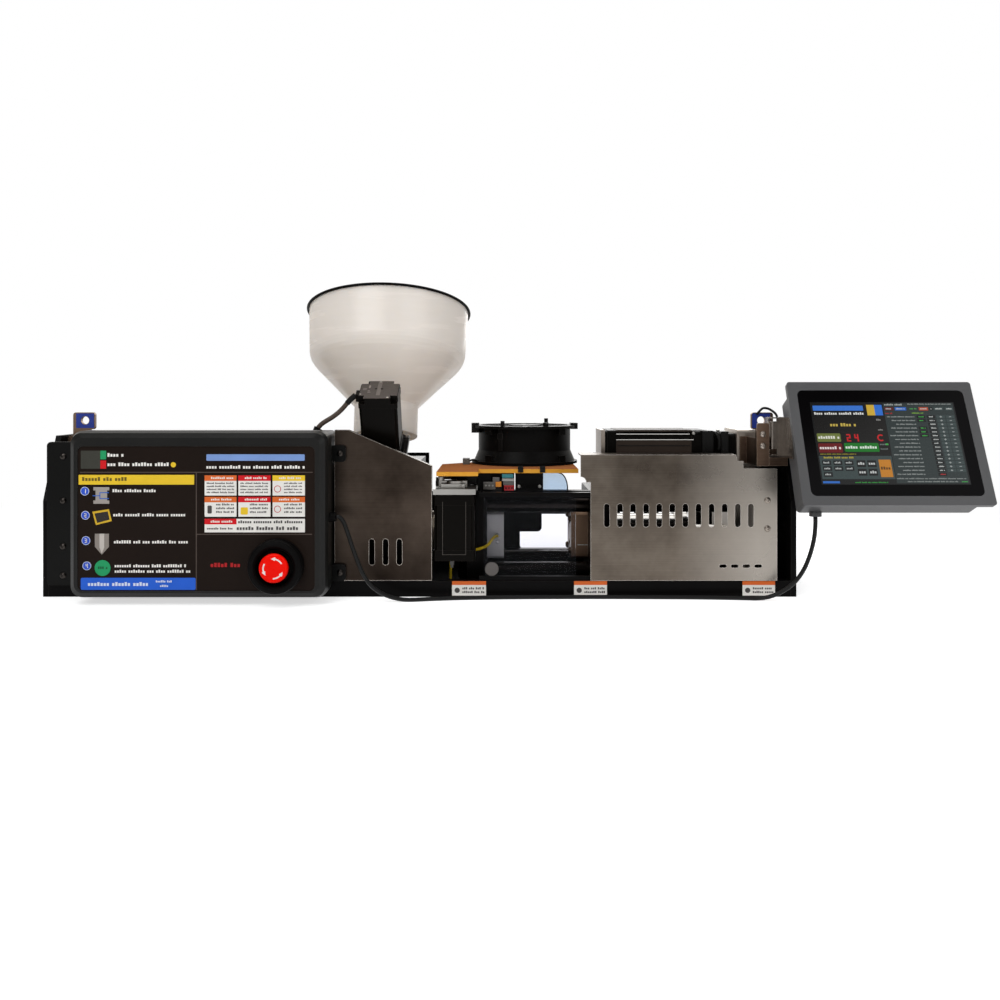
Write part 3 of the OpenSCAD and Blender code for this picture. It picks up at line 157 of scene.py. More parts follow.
def make_camera():
    """The photograph's view: level, at hopper height, in front of the middle of the machine."""
    data = bpy.data.cameras.new("camera")
    data.lens = LENS
    data.sensor_width = SENSOR
    data.shift_y = SHIFT_Y
    data.clip_start = 0.05
    data.clip_end = 50
    camera = bpy.data.objects.new("camera", data)
    camera.location = CAMERA_AT
    camera.rotation_euler = (math.radians(90), 0, 0)
    bpy.context.collection.objects.link(camera)
    bpy.context.scene.camera = camera


def make_lamps():
    """Soft square lamps, each turned to its point."""
    for name, (at, aim, size, watts) in LAMPS.items():
        data = bpy.data.lights.new(name, "AREA")
        data.shape = "RECTANGLE"
        data.size = data.size_y = size
        data.energy = watts
        lamp = bpy.data.objects.new(name, data)
        lamp.location = at
        lamp.rotation_euler = (Vector(aim) - Vector(at)).to_track_quat("-Z", "Y").to_euler()
        bpy.context.collection.objects.link(lamp)


def make_world():
    """White where seen, a studio that dims towards the front where mirrored, and a fill."""
    world = bpy.data.worlds.new("studio")
    world.use_nodes = True
    nt = world.node_tree
    nt.nodes.clear()

    def background(colour, strength):
        return add_node(nt, "Background", {"Color": (*colour, 1), "Strength": strength}).outputs[0]

    direction = add_node(nt, "TexCoord").outputs["Generated"]
    studio = remap(nt, along_axis(nt, direction, "Y"), *MIRRORED)
    white = background((1, 1, 1), 1.0)
    rays = add_node(nt, "LightPath").outputs
    shown = background((0.95, 0.97, 1.0), FILL)
    for ray, seen in (("Is Glossy Ray", background((1.0, 0.97, 0.93), studio)),
                      ("Is Transmission Ray", white), ("Is Camera Ray", white)):
        shown = choose(nt, rays[ray], shown, seen)
    add_node(nt, "OutputWorld", {0: shown})
    bpy.context.scene.world = world


def make_floor():
    """A wide pale floor that keeps the machine's shadow and fades into the white behind."""
    mat = bpy.data.materials.new("floor_white")
    mat.use_nodes = True
    nt = mat.node_tree
    nt.nodes.clear()

    # Metal and glass show the white too, not the camera alone
    rays = add_node(nt, "LightPath").outputs
    seen = rays["Is Camera Ray"]
    for ray in ("Is Glossy Ray", "Is Transmission Ray"):
        seen = combine(nt, "MAXIMUM", seen, rays[ray])
    pale = add_node(nt, "BsdfDiffuse", {"Color": FLOOR_WHITE})
    glow = add_node(nt, "Emission", {"Strength": combine(nt, "MULTIPLY", seen, FLOOR_LIFT)})
    near = add_node(nt, "AddShader", {0: pale.outputs[0], 1: glow.outputs[0]})

    # Far from the machine the floor is as white as the backdrop
    position = add_node(nt, "TexCoord").outputs["Object"]
    distance = add_node(nt, "VectorMath", {0: position}, operation="LENGTH").outputs["Value"]
    away = add_node(nt, "MapRange", {"Value": distance, "From Min": FLOOR_FADE[0],
                                     "From Max": FLOOR_FADE[1]}, interpolation_type="SMOOTHSTEP")
    far = combine(nt, "MULTIPLY", away.outputs[0], seen)
    white = add_node(nt, "Emission")
    add_node(nt, "OutputMaterial", {0: choose(nt, far, near.outputs[0], white.outputs[0])})

    bm = bmesh.new()
    bm.faces.new([bm.verts.new((x * FLOOR_HALF, y * FLOOR_HALF, 0))
                  for x, y in ((-1, -1), (1, -1), (1, 1), (-1, 1))])
    finish_mesh("floor", bm, mat)


make_camera()
make_world()
make_floor()
make_lamps()
bpy.context.scene.view_settings.view_transform = "Standard"


# ---- materials

def shade(hex_colour, factor=1.0):
    """Linear RGBA of a six-digit sRGB hex string, made darker or lighter."""
    parts = [int(hex_colour[i:i + 2], 16) / 255 for i in (0, 2, 4)]
    linear = [c / 12.92 if c <= 0.04045 else ((c + 0.055) / 1.055) ** 2.4 for c in parts]
    return (*(min(1.0, c * factor) for c in linear), 1)


def start_material(name):
    """A new material with its node tree and its Principled shader."""
    mat = bpy.data.materials.new(name)
    mat.use_nodes = True
    return mat, mat.node_tree, mat.node_tree.nodes["Principled BSDF"]


def place(nt, stretch=(1, 1, 1)):
    """Object coordinates, which are metres of the row frame on every piece, stretched."""
    position = add_node(nt, "TexCoord").outputs["Object"]
    return add_node(nt, "Mapping", {"Vector": position, "Scale": stretch}).outputs[0]


def noise(nt, scale, detail=3.0, rough=0.55, stretch=(1, 1, 1)):
    """Noise from 0 to 1 at that many waves a metre."""
    return add_node(nt, "TexNoise", {"Vector": place(nt, stretch), "Scale": scale,
                                     "Detail": detail, "Roughness": rough}).outputs[0]


def blend(nt, factor, first, second):
    """The colour between the first and the second."""
    return add_node(nt, "Mix", {"Factor": factor, "A": first, "B": second},
                    data_type="RGBA").outputs["Result"]


def bump(nt, shader, height, strength, depth_mm):
    """Surface relief of that depth."""
    relief = add_node(nt, "Bump", {"Height": height, "Strength": strength,
                                   "Distance": depth_mm * MM})
    nt.links.new(relief.outputs[0], shader.inputs["Normal"])


def facing(nt, axis):
    """How squarely a face looks along an axis, either way."""
    normal = add_node(nt, "NewGeometry").outputs["Normal"]
    return combine(nt, "ABSOLUTE", along_axis(nt, normal, axis))


def paint_edge_highlight(nt, paint, edge, radius_mm):
    """The paint, turning to a painted highlight colour where a small bevel turns the normal."""
    bevel = add_node(nt, "Bevel", {"Radius": radius_mm * MM}, samples=4)
    normal = add_node(nt, "NewGeometry").outputs["Normal"]
    dot = add_node(nt, "VectorMath", {0: bevel.outputs[0], 1: normal}, operation="DOT_PRODUCT")
    return blend(nt, remap(nt, dot.outputs["Value"], 0.72, 0.98, 1.0, 0.0), paint, shade(edge))


def blend_along(nt, paint, axis, colour, start, end, share):
    """The paint, turning by share to the hex colour between two places on an axis, in metres."""
    factor = remap(nt, along_axis(nt, place(nt), axis), start, end, 0.0, share)
    return blend(nt, factor, paint, shade(colour))


def surface(name, colour, rough, metal=0.0, grain=(900, 0.03), spread=0.2, stretch=(1, 1, 1),
            cloud=9.0, coat=0.0, edge=None, specular=0.5, along=None):
    """A procedural finish: cloudy tone, uneven roughness and a fine relief.

    grain is (waves a metre, depth in mm), stretch draws the grain out along an axis, edge is
    the hex colour of a painted highlight along sharp edges, and along is what blend_along takes.
    """
    mat, nt, shader = start_material(name)
    tone = remap(nt, noise(nt, cloud, 4.0), 0.3, 0.7)
    paint = blend(nt, tone, shade(colour, 1 - spread), shade(colour, 1 + spread))
    if along:
        paint = blend_along(nt, paint, *along)
    if edge:
        paint = paint_edge_highlight(nt, paint, edge, 0.6)
    fine = noise(nt, grain[0], 2.0, stretch=stretch)
    plug(nt, shader, {
        "Base Color": paint, "Metallic": metal, "Specular IOR Level": specular,
        "Coat Weight": coat, "Coat Roughness": 0.12,
        "Roughness": remap(nt, fine, 0.3, 0.7, rough * 0.85, min(1.0, rough * 1.2))})
    bump(nt, shader, fine, 0.6, grain[1])
    return mat


def brushed(name, dark, light, rough, streak=(3, 60, 900), share=0.3, edge=None, along=None):
    """Brushed stainless sheet: long fine streaks over a cloudy tone, with faint smudges.

    share is how much of the tone the streaks take, edge is the hex colour of a painted
    highlight along the sheet's edges and folds, and along is what blend_along takes.
    """
    mat, nt, shader = start_material(name)
    streaks = noise(nt, 1.0, 4.0, 0.7, streak)
    clouds = noise(nt, 7.0, 5.0, 0.6)
    tone = combine(nt, "ADD", remap(nt, streaks, 0.3, 0.7, 0.0, share),
                   remap(nt, clouds, 0.35, 0.65, 0.0, 1 - share))
    paint = blend(nt, tone, shade(dark), shade(light))
    if along:
        paint = blend_along(nt, paint, *along)
    if edge:
        paint = paint_edge_highlight(nt, paint, edge, 1.4)
    plug(nt, shader, {"Base Color": paint, "Metallic": 1.0, "Anisotropic": 0.5,
                      "Roughness": remap(nt, clouds, 0.3, 0.7, rough * 0.8, rough * 1.25)})
    bump(nt, shader, streaks, 0.35, 0.04)
    return mat


def set_output(nt, shader):
    nt.links.new(shader, nt.nodes["Material Output"].inputs["Surface"])


def clear(name, tint, rough, veil, passed):
    """Clear sheet: a gloss and a veil of its own colour; passed is what it lets through."""
    mat, nt, shader = start_material(name)
    scratches = noise(nt, 1.0, 3.0, 0.7, (12, 12, 260))
    plug(nt, shader, {
        "Base Color": blend(nt, scratches, shade(tint, 0.9), shade(tint, 1.1)), "IOR": 1.45,
        "Roughness": remap(nt, scratches, 0.3, 0.8, rough, rough * 2.5)})
    through = add_node(nt, "BsdfTransparent", {"Color": (*passed, 1)})
    gloss = add_node(nt, "LayerWeight", {"Blend": 0.08}).outputs["Fresnel"]
    # The cut edges are frosted: any face that doesn't look along Y
    cover = combine(nt, "MAXIMUM", remap(nt, gloss, 0.0, 1.0, veil, 0.7),
                    remap(nt, facing(nt, "Y"), 0.3, 0.6, 0.6, 0.0))
    set_output(nt, choose(nt, cover, through.outputs[0], shader.outputs[0]))
    return mat


def hopper_plastic():
    """Natural polyethylene: warm white, lets light through, with faint mould flow marks."""
    mat, nt, shader = start_material("hopper_plastic")
    flow = noise(nt, 2.0, 4.0, stretch=(4, 4, 40))
    plug(nt, shader, {
        "Base Color": blend(nt, flow, shade("e9e4dd"), shade("f3efeb")),
        "Roughness": remap(nt, flow, 0.3, 0.7, 0.2, 0.3), "Subsurface Weight": 0.5,
        "Subsurface Radius": (1.0, 0.85, 0.7), "Subsurface Scale": 0.012})
    bump(nt, shader, flow, 0.2, 0.1)
    glow = add_node(nt, "BsdfTranslucent", {"Color": (0.95, 0.9, 0.85, 1)})
    set_output(nt, choose(nt, remap(nt, flow, 0.3, 0.7, 0.32, 0.38), shader.outputs[0],
                          glow.outputs[0]))
    return mat


def board_wood():
    """The fan board: tan phenolic faces with a painted amber edge."""
    mat, nt, shader = start_material("board_tan")
    grain = noise(nt, 1.0, 5.0, 0.65, (14, 160, 14))
    face = blend(nt, grain, shade("8f5530"), shade("ad7046"))
    edge = blend(nt, noise(nt, 60.0), shade("d9942c"), shade("f0b04a"))
    plug(nt, shader, {
        "Base Color": blend(nt, remap(nt, facing(nt, "Z"), 0.4, 0.6), edge, face),
        "Roughness": remap(nt, grain, 0.3, 0.7, 0.7, 0.85), "Specular IOR Level": 0.0})
    bump(nt, shader, grain, 0.3, 0.05)
    return mat


# Each finish with the CAD nodes that wear it; an edge colour is a painted highlight on sharp edges
FINISHES = [
    (surface("black_steel", "090808", 0.3, grain=(700, 0.02), spread=0.25, specular=0.05,
             edge="3a3734"),
     "base_pan end_plates rear_cover guard_tracks pulley_cover hopper_motor_bracket fan_bracket"),
    (surface("enclosure_black", "0e0e0d", 0.36, grain=(1500, 0.14), specular=0.1, edge="3a3735"),
     "enclosure_box"),
    (surface("enclosure_lid", "151514", 0.34, grain=(1300, 0.24), specular=0.2, edge="4d4a46"),
     "enclosure_lid"),
    (surface("panel_print", "1f1713", 0.42, grain=(1800, 0.02), spread=0.08, specular=0.06),
     "panel_overlay"),
    # Painted shade: a darker copy of the stainless, darker still towards the cover's bottom
    (brushed("stainless_shaded", "28211c", "564b43", 0.34, share=0.2, edge="f2e9df",
             along=("Z", "120d0a", 0.11, 0.03, 0.6)), "injection_cover"),
    # Painted reflection: the stainless turns paler towards the cover's right end
    (brushed("stainless", "362e28", "756c62", 0.3, share=0.28, edge="e4ddd5",
             along=("X", "c4bdb4", 0.37, 0.49, 0.5)), "clamp_cover"),
    (brushed("stainless_bracket", "43352c", "7c6656", 0.34, edge="b49f8c"), "hmi_bracket"),
    (brushed("stainless_arm", "6b625a", "a8a098", 0.24, streak=(600, 40, 3)), "hmi_arm"),
    (surface("cast_plate", "b9b0a6", 0.36, 1.0, grain=(500, 0.03), spread=0.15),
     "thrust_plate injection_plates"),
    (surface("valve_plate", "a5a39f", 0.34, 1.0, grain=(500, 0.03), spread=0.15),
     "valve_motor_plate"),
    (surface("steel_bright", "b4b2ae", 0.2, 1.0, grain=(900, 0.01), spread=0.12,
             stretch=(1, 30, 30)),
     "guide_rods feed_auger injection_screw clamp_screw injection_plunger clamp_ram"),
    (surface("screw_steel", "3f3b38", 0.3, 1.0, grain=(900, 0.01), spread=0.12,
             along=("X", "9a9188", -0.05, 0.0, 1.0)), "cover_screws"),
    (surface("tie_bars_black", "211c19", 0.24, 0.9, grain=(500, 0.02), spread=0.3,
             stretch=(1, 25, 25)), "tie_bars"),
    (surface("steel_dark", "0f0d0c", 0.38, 0.4, grain=(600, 0.04), spread=0.25, specular=0.1,
             edge="45413d"),
     "fixed_platen moving_platen plunger_carriage nozzle barrel feed_block"),
    (surface("valve_parts", "a9a6a1", 0.38, 1.0, grain=(700, 0.04), spread=0.15),
     "valve_crank valve_link valve_lever"),
    (surface("heater_mica", "9a8f80", 0.42, 0.85, grain=(300, 0.1), spread=0.25),
     "heater_bands"),
    # Painted light: the grey mould half is painted far paler, to make up for the shade it sits in
    (surface("mould_fixed", "dcdad4", 0.42, 0.2, grain=(500, 0.04), edge="d9dad8"),
     "fixed_mould_half"),
    (surface("mould_moving", "6b5645", 0.34, 0.9, grain=(400, 0.05), spread=0.3, edge="b8a48e"),
     "moving_mould_half"),
    (surface("motor_black", "0a0806", 0.36, grain=(900, 0.05), spread=0.25, specular=0.05,
             edge="35302c"), "valve_motor clamp_motor hopper_motor injection_motor"),
    (surface("pulley_grey", "8f8c88", 0.35, 1.0, grain=(600, 0.03), spread=0.15),
     "screw_pulley motor_pulley"),
    (surface("belt_rubber", "171717", 0.7, grain=(800, 0.1), specular=0.25), "timing_belt"),
    (surface("rubber_black", "0a0909", 0.5, grain=(1200, 0.05), specular=0.05),
     "estop_collar hopper_rim cable_gland"),
    (surface("estop_red", "ff0f00", 0.3, grain=(1500, 0.01), spread=0.05, coat=0.02,
             specular=0.08), "estop_head"),
    (surface("estop_stem", "2a2a2a", 0.5, grain=(1200, 0.03), spread=0.12), "estop_plunger"),
    (surface("fan_black", "0b0a09", 0.4, grain=(900, 0.04), spread=0.25, specular=0.06,
             edge="353330"), "fan_housing fan_rotor"),
    (surface("lug_steel", "7b6656", 0.4, 0.9, grain=(600, 0.04), spread=0.25, edge="a8937f"),
     "lifting_lugs"),
    (surface("knob_grey", "56514e", 0.5, grain=(900, 0.05), spread=0.15), "guard_knob"),
    (surface("hmi_grey", "535354", 0.42, grain=(1300, 0.04), spread=0.08, specular=0.25,
             edge="5a5a5c"), "hmi_housing"),
    (surface("hmi_glass", "070607", 0.14, grain=(900, 0.003), spread=0.1, specular=0.035),
     "hmi_glass"),
    (hopper_plastic(), "hopper"),
    (board_wood(), "fan_board"),
    (clear("clear_guard", "bcc1c4", 0.03, 0.006, (0.87, 0.87, 0.9)), "guard_door"),
]
for finish, wearers in FINISHES:
    for wearer in wearers.split():
        NODES[wearer].data.materials.clear()
        NODES[wearer].data.materials.append(finish)


# ---- cords

HMI_CABLE_MM = [
    (-114, -190, 121), (-110, -190, 121), (-104, -190, 114), (-98, -190, 98), (-91, -190, 77),
    (-82, -190, 53), (-75, -190, 38), (-65, -190, 24), (-50, -189, 13), (-32, -187, 6),
    (-12, -184, 3), (20, -178, 3), (60, -172, 3), (110, -168, 3), (170, -166, 3),
    (240, -165, 3), (320, -166, 3), (400, -168, 3), (455, -172, 3), (490, -177, 4),
    (512, -182, 12), (530, -187, 26), (543, -190, 44), (552, -192, 66), (558, -193, 90),
    (560, -193, 110), (560, -193, 122),
]
HOPPER_LEAD_MM = [
    (-97, -133, 291), (-99, -133, 289.5), (-103, -133, 286), (-108, -133, 280.5),
    (-114, -133, 273.5), (-121, -134, 266.5), (-129.5, -135, 260), (-138.5, -136, 254.5),
    (-145.5, -137, 249.5), (-151, -138, 243),
]


def smooth(points, steps):
    """The route through every point, as a Catmull-Rom curve with that many steps a span."""
    pts = [Vector(p) for p in points]
    ends = [pts[0] * 2 - pts[1]] + pts + [pts[-1] * 2 - pts[-2]]
    out = []
    for a, b, c, d in zip(ends, ends[1:], ends[2:], ends[3:]):
        for t in (k / steps for k in range(steps)):
            out.append(0.5 * (2 * b + (c - a) * t + (2 * a - 5 * b + 4 * c - d) * t * t
                              + (3 * b - a - 3 * c + d) * t ** 3))
    return out + [pts[-1]]


def tube(name, path, radius, mat, sides=16):
    """A capped round tube along a path in metres, with a steady frame so that it doesn't twist."""
    bm = bmesh.new()
    rings = []
    side = Vector((0, 0, 1))
    for i, p in enumerate(path):
        ahead = path[min(i + 1, len(path) - 1)] - path[max(i - 1, 0)]
        ahead.normalize()
        side = side - ahead * side.dot(ahead)
        if side.length < TINY:
            side = ahead.orthogonal()
        side.normalize()
        across = ahead.cross(side)
        rings.append([bm.verts.new(p + (side * math.cos(t) + across * math.sin(t)) * radius)
                      for t in (2 * math.pi * k / sides for k in range(sides))])
    for low, high in zip(rings, rings[1:]):
        for k in range(sides):
            bm.faces.new((low[k], low[(k + 1) % sides], high[(k + 1) % sides], high[k]))
    bm.faces.new(rings[0][::-1])
    bm.faces.new(rings[-1])
    bmesh.ops.recalc_face_normals(bm, faces=bm.faces)
    for face in bm.faces:
        face.smooth = len(face.verts) == 4
    return finish_mesh(name, bm, mat)


def make_cord(name, node, route_mm, diameter_mm, mat, steps, ends):
    """A declared cable on its CAD route, standing for the CAD solid."""
    path = [p * MM for p in smooth(route_mm, steps)]
    obj = tube(name, path, diameter_mm * MM / 2, mat)
    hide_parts(node)
    if len(ends) == 1:
        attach(obj, ends[0])
    else:
        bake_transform(obj)


def make_cords():
    """The display's cable along its route past the arm's swivel, and the hopper's lead."""
    black = surface("cable_black", "0b0b0b", 0.42, grain=(900, 0.04), specular=0.25)
    brown = surface("cable_brown", "4a3c33", 0.5, grain=(900, 0.04), specular=0.35)
    swivel_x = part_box("hmi_arm")[0].x
    still, turned = (swivel_x - 0.02, -0.177, 0.004), (swivel_x + 0.045, -0.193, 0.1)
    make_cord("hmi_cable_run", "hmi_cable", HMI_CABLE_MM, 6, black, 3,
              ("frame", "display", still, turned))
    make_cord("hopper_motor_lead_run", "hopper_motor_lead", HOPPER_LEAD_MM, 7, brown, 2,
              ("frame",))


make_cords()


# ---- print: thin shapes on a face

PRINT_LIFT = 0.12   # how far a layer of print stands off the one below, mm
PRINT_GAP = 0.02    # the air left under each layer, mm


class Face:
    """A flat face that print lies on. u runs along X and v up it, in mm from its corner."""

    def __init__(self, corner, up=(0, 0, 1), body="frame"):
        self.corner = Vector(corner)
        self.across = Vector((1, 0, 0))
        self.up = Vector(up).normalized()
        self.out = self.across.cross(self.up)
        self.body = body

    def point(self, u, v, lift_mm):
        return self.corner + (self.across * u + self.up * v + self.out * lift_mm) * MM


def arc(u, v, r, start, sweep, steps):
    """Points round u, v from the start angle through sweep, in degrees."""
    angles = [math.radians(start + sweep * k / steps) for k in range(steps + 1)]
    return [(u + r * math.cos(a), v + r * math.sin(a)) for a in angles]


def rounded(u0, v0, u1, v1, r=0.0, steps=5):
    """Outline of a rectangle with round corners."""
    if r <= 0:
        return [(u0, v0), (u1, v0), (u1, v1), (u0, v1)]
    corners = ((u1 - r, v0 + r, -90), (u1 - r, v1 - r, 0), (u0 + r, v1 - r, 90),
               (u0 + r, v0 + r, 180))
    return [point for u, v, start in corners for point in arc(u, v, r, start, 90, steps)]


def disc(u, v, r, sides=32):
    return arc(u, v, r, 0, 360, sides)[:-1]


def arc_band(u, v, r, width, start, sweep, steps=14):
    """Outline of a round band from the start angle through sweep, in degrees."""
    return (arc(u, v, r + width / 2, start, sweep, steps)
            + arc(u, v, r - width / 2, start, sweep, steps)[::-1])


def words(u0, u1, v, height, seed):
    """A line of dummy print from u0 to u1: small plain blocks, grouped to the length of words."""
    rng = random.Random(seed)
    out = []
    block, gap, space, foot = height * 0.52, height * 0.2, height * 0.55, height * 0.12
    low, tall = height * 0.78, height * 1.0
    u = u0
    while u < u1 - block:
        for _ in range(rng.randint(3, 8)):
            if u > u1 - block:
                break
            out.append(rounded(u, v + foot, u + block, v + rng.choice((low, low, tall))))
            u += block + gap
        u += space
    return out


SEGMENTS = {1: "bc", 2: "abged", 3: "abgcd", 4: "fgbc"}


def digit(n, u, v, height):
    """A plain seven-stroke numeral, centred on u, v."""
    wide, thick = height * 0.52, height * 0.17
    left, right, low, high = u - wide / 2, u + wide / 2, v - height / 2, v + height / 2
    strokes = {
        "a": (left, high - thick, right, high), "d": (left, low, right, low + thick),
        "g": (left, v - thick / 2, right, v + thick / 2), "b": (right - thick, v, right, high),
        "c": (right - thick, low, right, v), "e": (left, low, left + thick, v),
        "f": (left, v, left + thick, high),
    }
    return [rounded(*strokes[s]) for s in SEGMENTS[n]]


@functools.cache
def ink(colour, rough=0.45):
    """One printed colour, with a faint screen-print texture."""
    return surface(f"ink_{colour}", colour, rough, grain=(2600, 0.01), spread=0.05, cloud=30.0,
                   specular=0.25)


def stamp(name, face, mat, outlines, layer=1, thick_mm=PRINT_LIFT - PRINT_GAP):
    """One object of thin plates, one to an outline, on that layer of a face's print.

    mat is a material, or the hex colour of an ink.
    """
    bm = bmesh.new()
    low = PRINT_LIFT * (layer - 1) + PRINT_GAP
    for outline in outlines:
        area = sum(a[0] * b[1] - b[0] * a[1] for a, b in zip(outline, outline[1:] + outline[:1]))
        ring = outline if area > 0 else outline[::-1]
        base = [bm.verts.new(face.point(u, v, low)) for u, v in ring]
        top = [bm.verts.new(face.point(u, v, low + thick_mm)) for u, v in ring]
        bm.faces.new(top)
        bm.faces.new(base[::-1])
        for k in range(len(ring)):
            j = (k + 1) % len(ring)
            bm.faces.new((base[k], base[j], top[j], top[k]))
    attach(finish_mesh(name, bm, ink(mat) if isinstance(mat, str) else mat), face.body)


# ---- small hardware

FRONT = (0, -1, 0)


def box_mm(node):
    """Low and high corner of a CAD node, in millimetres."""
    low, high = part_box(node)
    return Vector(low) / MM, Vector(high) / MM


class Shape:
    """One mesh put together from blocks, rods and screws, in millimetres from its origin."""

    def __init__(self, origin=(0, 0, 0)):
        self.bm = bmesh.new()
        self.origin = Vector(origin)

    def block(self, low, high, edge=0.5, turn=None):
        """A block with broken edges, turned about its own middle by a matrix if one is given."""
        low, high = Vector(low), Vector(high)
        size, middle = high - low, self.origin + (low + high) / 2
        verts = bmesh.ops.create_cube(self.bm, size=1)["verts"]
        for vert in verts:
            co = Vector(c * s for c, s in zip(vert.co, size))
            vert.co = ((turn @ co if turn else co) + middle) * MM
        edges = list({e for v in verts for e in v.link_edges})
        bmesh.ops.bevel(self.bm, geom=edges, offset=edge * MM, segments=2, profile=0.6,
                        affect="EDGES")
        return self

    def rod(self, start, end, radius, end_radius=None, sides=28):
        """A capped round rod from start to end."""
        start, end = (self.origin + Vector(start)) * MM, (self.origin + Vector(end)) * MM
        along = end - start
        turn = Vector((0, 0, 1)).rotation_difference(along).to_matrix().to_4x4()
        bmesh.ops.create_cone(
            self.bm, cap_ends=True, segments=sides, radius1=radius * MM,
            radius2=(radius if end_radius is None else end_radius) * MM, depth=along.length,
            matrix=Matrix.Translation((start + end) / 2) @ turn)
        return self

    def screw(self, at, out, radius):
        """A pan head with a chamfered rim, standing on at."""
        at, out = Vector(at), Vector(out).normalized()
        rim, top = at + out * radius * 0.45, at + out * radius * 0.7
        return self.rod(at, rim, radius).rod(rim, top, radius, radius * 0.72)

    def done(self, name, mat, body="frame"):
        for face in self.bm.faces:
            face.smooth = False
        bmesh.ops.recalc_face_normals(self.bm, faces=self.bm.faces)
        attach(finish_mesh(name, self.bm, mat), body)


def wire(name, mat, diameter_mm, origin, points_mm, steps=5):
    """A short fixed wire through the points, in millimetres from the origin."""
    route = [Vector(origin) + Vector(p) for p in points_mm]
    path = [p * MM for p in smooth(route, steps)]
    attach(tube(name, path, diameter_mm * MM / 2, mat, sides=12), "frame")


# An edge colour here too is a painted highlight on sharp edges
WIRE_YELLOW = surface("wire_yellow", "f6cd1c", 0.42, spread=0.12)
WIRE_BLACK = surface("wire_black", "0d0c0b", 0.4, specular=0.2)
PLASTIC_GREY = surface("plastic_grey", "5d5a56", 0.45, grain=(1400, 0.04), spread=0.12,
                       edge="a8a5a0")
PLASTIC_BLACK = surface("plastic_black", "0e0d0c", 0.36, grain=(1200, 0.04), specular=0.16,
                        edge="2e2c2a")
PLASTIC_RED = surface("plastic_red", "a3141c", 0.4, grain=(1400, 0.03), spread=0.12)
PLASTIC_ORANGE = surface("plastic_orange", "e08a22", 0.4, grain=(1400, 0.03), spread=0.1)
PLASTIC_TEAL = surface("plastic_teal", "2f7f86", 0.4, grain=(1400, 0.03), spread=0.12)
ZINC = surface("zinc", "a9a7a2", 0.3, 1.0, spread=0.15)
SOCKET = surface("socket_dark", "14110f", 0.5, specular=0.1)
# Grey of the painted highlight lines on the valve motor's front
HIGHLIGHT_LINE_GREY = surface("highlight_line_grey", "3d3833", 0.4, 0.3)
BRONZE_GREY = surface("bronze_grey", "3c322c", 0.42, 0.3, spread=0.15, edge="6b5f57")
STRAP_GREY = surface("strap_grey", "6a615b", 0.4, 0.4, spread=0.15)
FIN_DARK = surface("fin_dark", "352c26", 0.45, grain=(700, 0.03), stretch=(1, 20, 20),
                   specular=0.1)
CHROME = surface("chrome", "d8d6d2", 0.12, 1.0, grain=(900, 0.01), spread=0.08)
NICKEL = surface("nickel", "a3988e", 0.34, 1.0, grain=(500, 0.03), spread=0.12)
STICKER_BLUE = surface("sticker_blue", "2c3f96", 0.4, grain=(1500, 0.02), spread=0.1,
                       specular=0.25)
SHIELD_CLEAR = clear("shield_clear", "86b4e4", 0.05, 0.24, (0.84, 0.92, 1.0))


# ---- the control panel's print

DARK_LINE = "4a3f39"
ORANGE = "e06a2c"
RED = "d4121d"
YELLOW = "f0c92e"
BLUE = "2563d8"
GREEN = "1f9d62"
WHITE = "f2efe9"
GREY_PRINT = "4d4a48"


def print_panel():
    """Step list on the left, coloured cards on the right, and the stop's bar below them."""
    low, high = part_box("panel_overlay")
    face = Face(low)
    wide, tall = (high.x - low.x) / MM, (high.z - low.z) / MM
    split = wide * 0.5
    head_v = tall - 36

    stamp("panel_dividers", face, DARK_LINE, [
        rounded(3, head_v - 0.7, wide - 3, head_v + 0.7),
        rounded(split - 0.7, 1, split + 0.7, head_v - 0.7),
        rounded(split + 0.7, 77.5, wide - 4, 78.9)])
    stamp("panel_step_band", face, YELLOW, [rounded(1, head_v - 17, split - 3, head_v - 3.5)])
    stamp("panel_foot_band", face, BLUE, [rounded(4, 1.2, split - 1, 18, 2)])
    stamp("panel_indicator_window", face, ink("3a3a33", 0.3), [rounded(4, 169, 31, 194, 1)])
    stamp("panel_indicator_green", face, GREEN, [rounded(31.2, 182, 39.2, 194)])
    stamp("panel_indicator_red", face, "d8141c", [rounded(31.2, 169, 39.2, 180.4)])
    stamp("panel_indicator_mark", face, YELLOW, [disc(132.2, 174.5, 3.6)])
    stamp("panel_lines", face, WHITE, [block for line in (
        (41, 66, 185, 5.6, 1), (41, 127, 172, 5.6, 2), (48, 112, 136, 4.8, 3),
        (49, 150, 102.5, 4.8, 4), (50, 153, 65, 4.8, 5), (51, 150, 32, 4.6, 6),
        (51, 158, 24.5, 4.6, 7)) for block in words(*line)])
    stamp("panel_title", face, "7f9fd9", [rounded(178, 180, 314, 189, 1.5)])
    stamp("panel_subtitle", face, WHITE, words(178, 314, 168.5, 5.2, 8))
    stamp("panel_band_words", face, "6b5a1c", words(6, 68, head_v - 12.6, 6, 9), 2)
    stamp("panel_foot_words", face, "dfe6f6", words(14, 98, 6, 6, 10)
          + words(108, 132, 11.2, 3.2, 11) + words(114, 126, 5, 3.2, 12), 2)

    bullets = [(9.6, 138), (10.4, 104.5), (11.2, 69.5), (12.4, 34.5)]
    stamp("panel_bullet_rings", face, "c9d3ee", [disc(u, v, 6) for u, v in bullets])
    stamp("panel_bullets", face, "2f55c8", [disc(u, v, 5.2) for u, v in bullets], 2)
    stamp("panel_bullet_numbers", face, WHITE,
          [stroke for n, (u, v) in enumerate(bullets) for stroke in digit(n + 1, u, v, 6)], 3)
    stamp("panel_red_bar", face, "b51a1f", words(184, 225, 32, 6.6, 13))
    print_step_icons(face)
    print_cards(face)


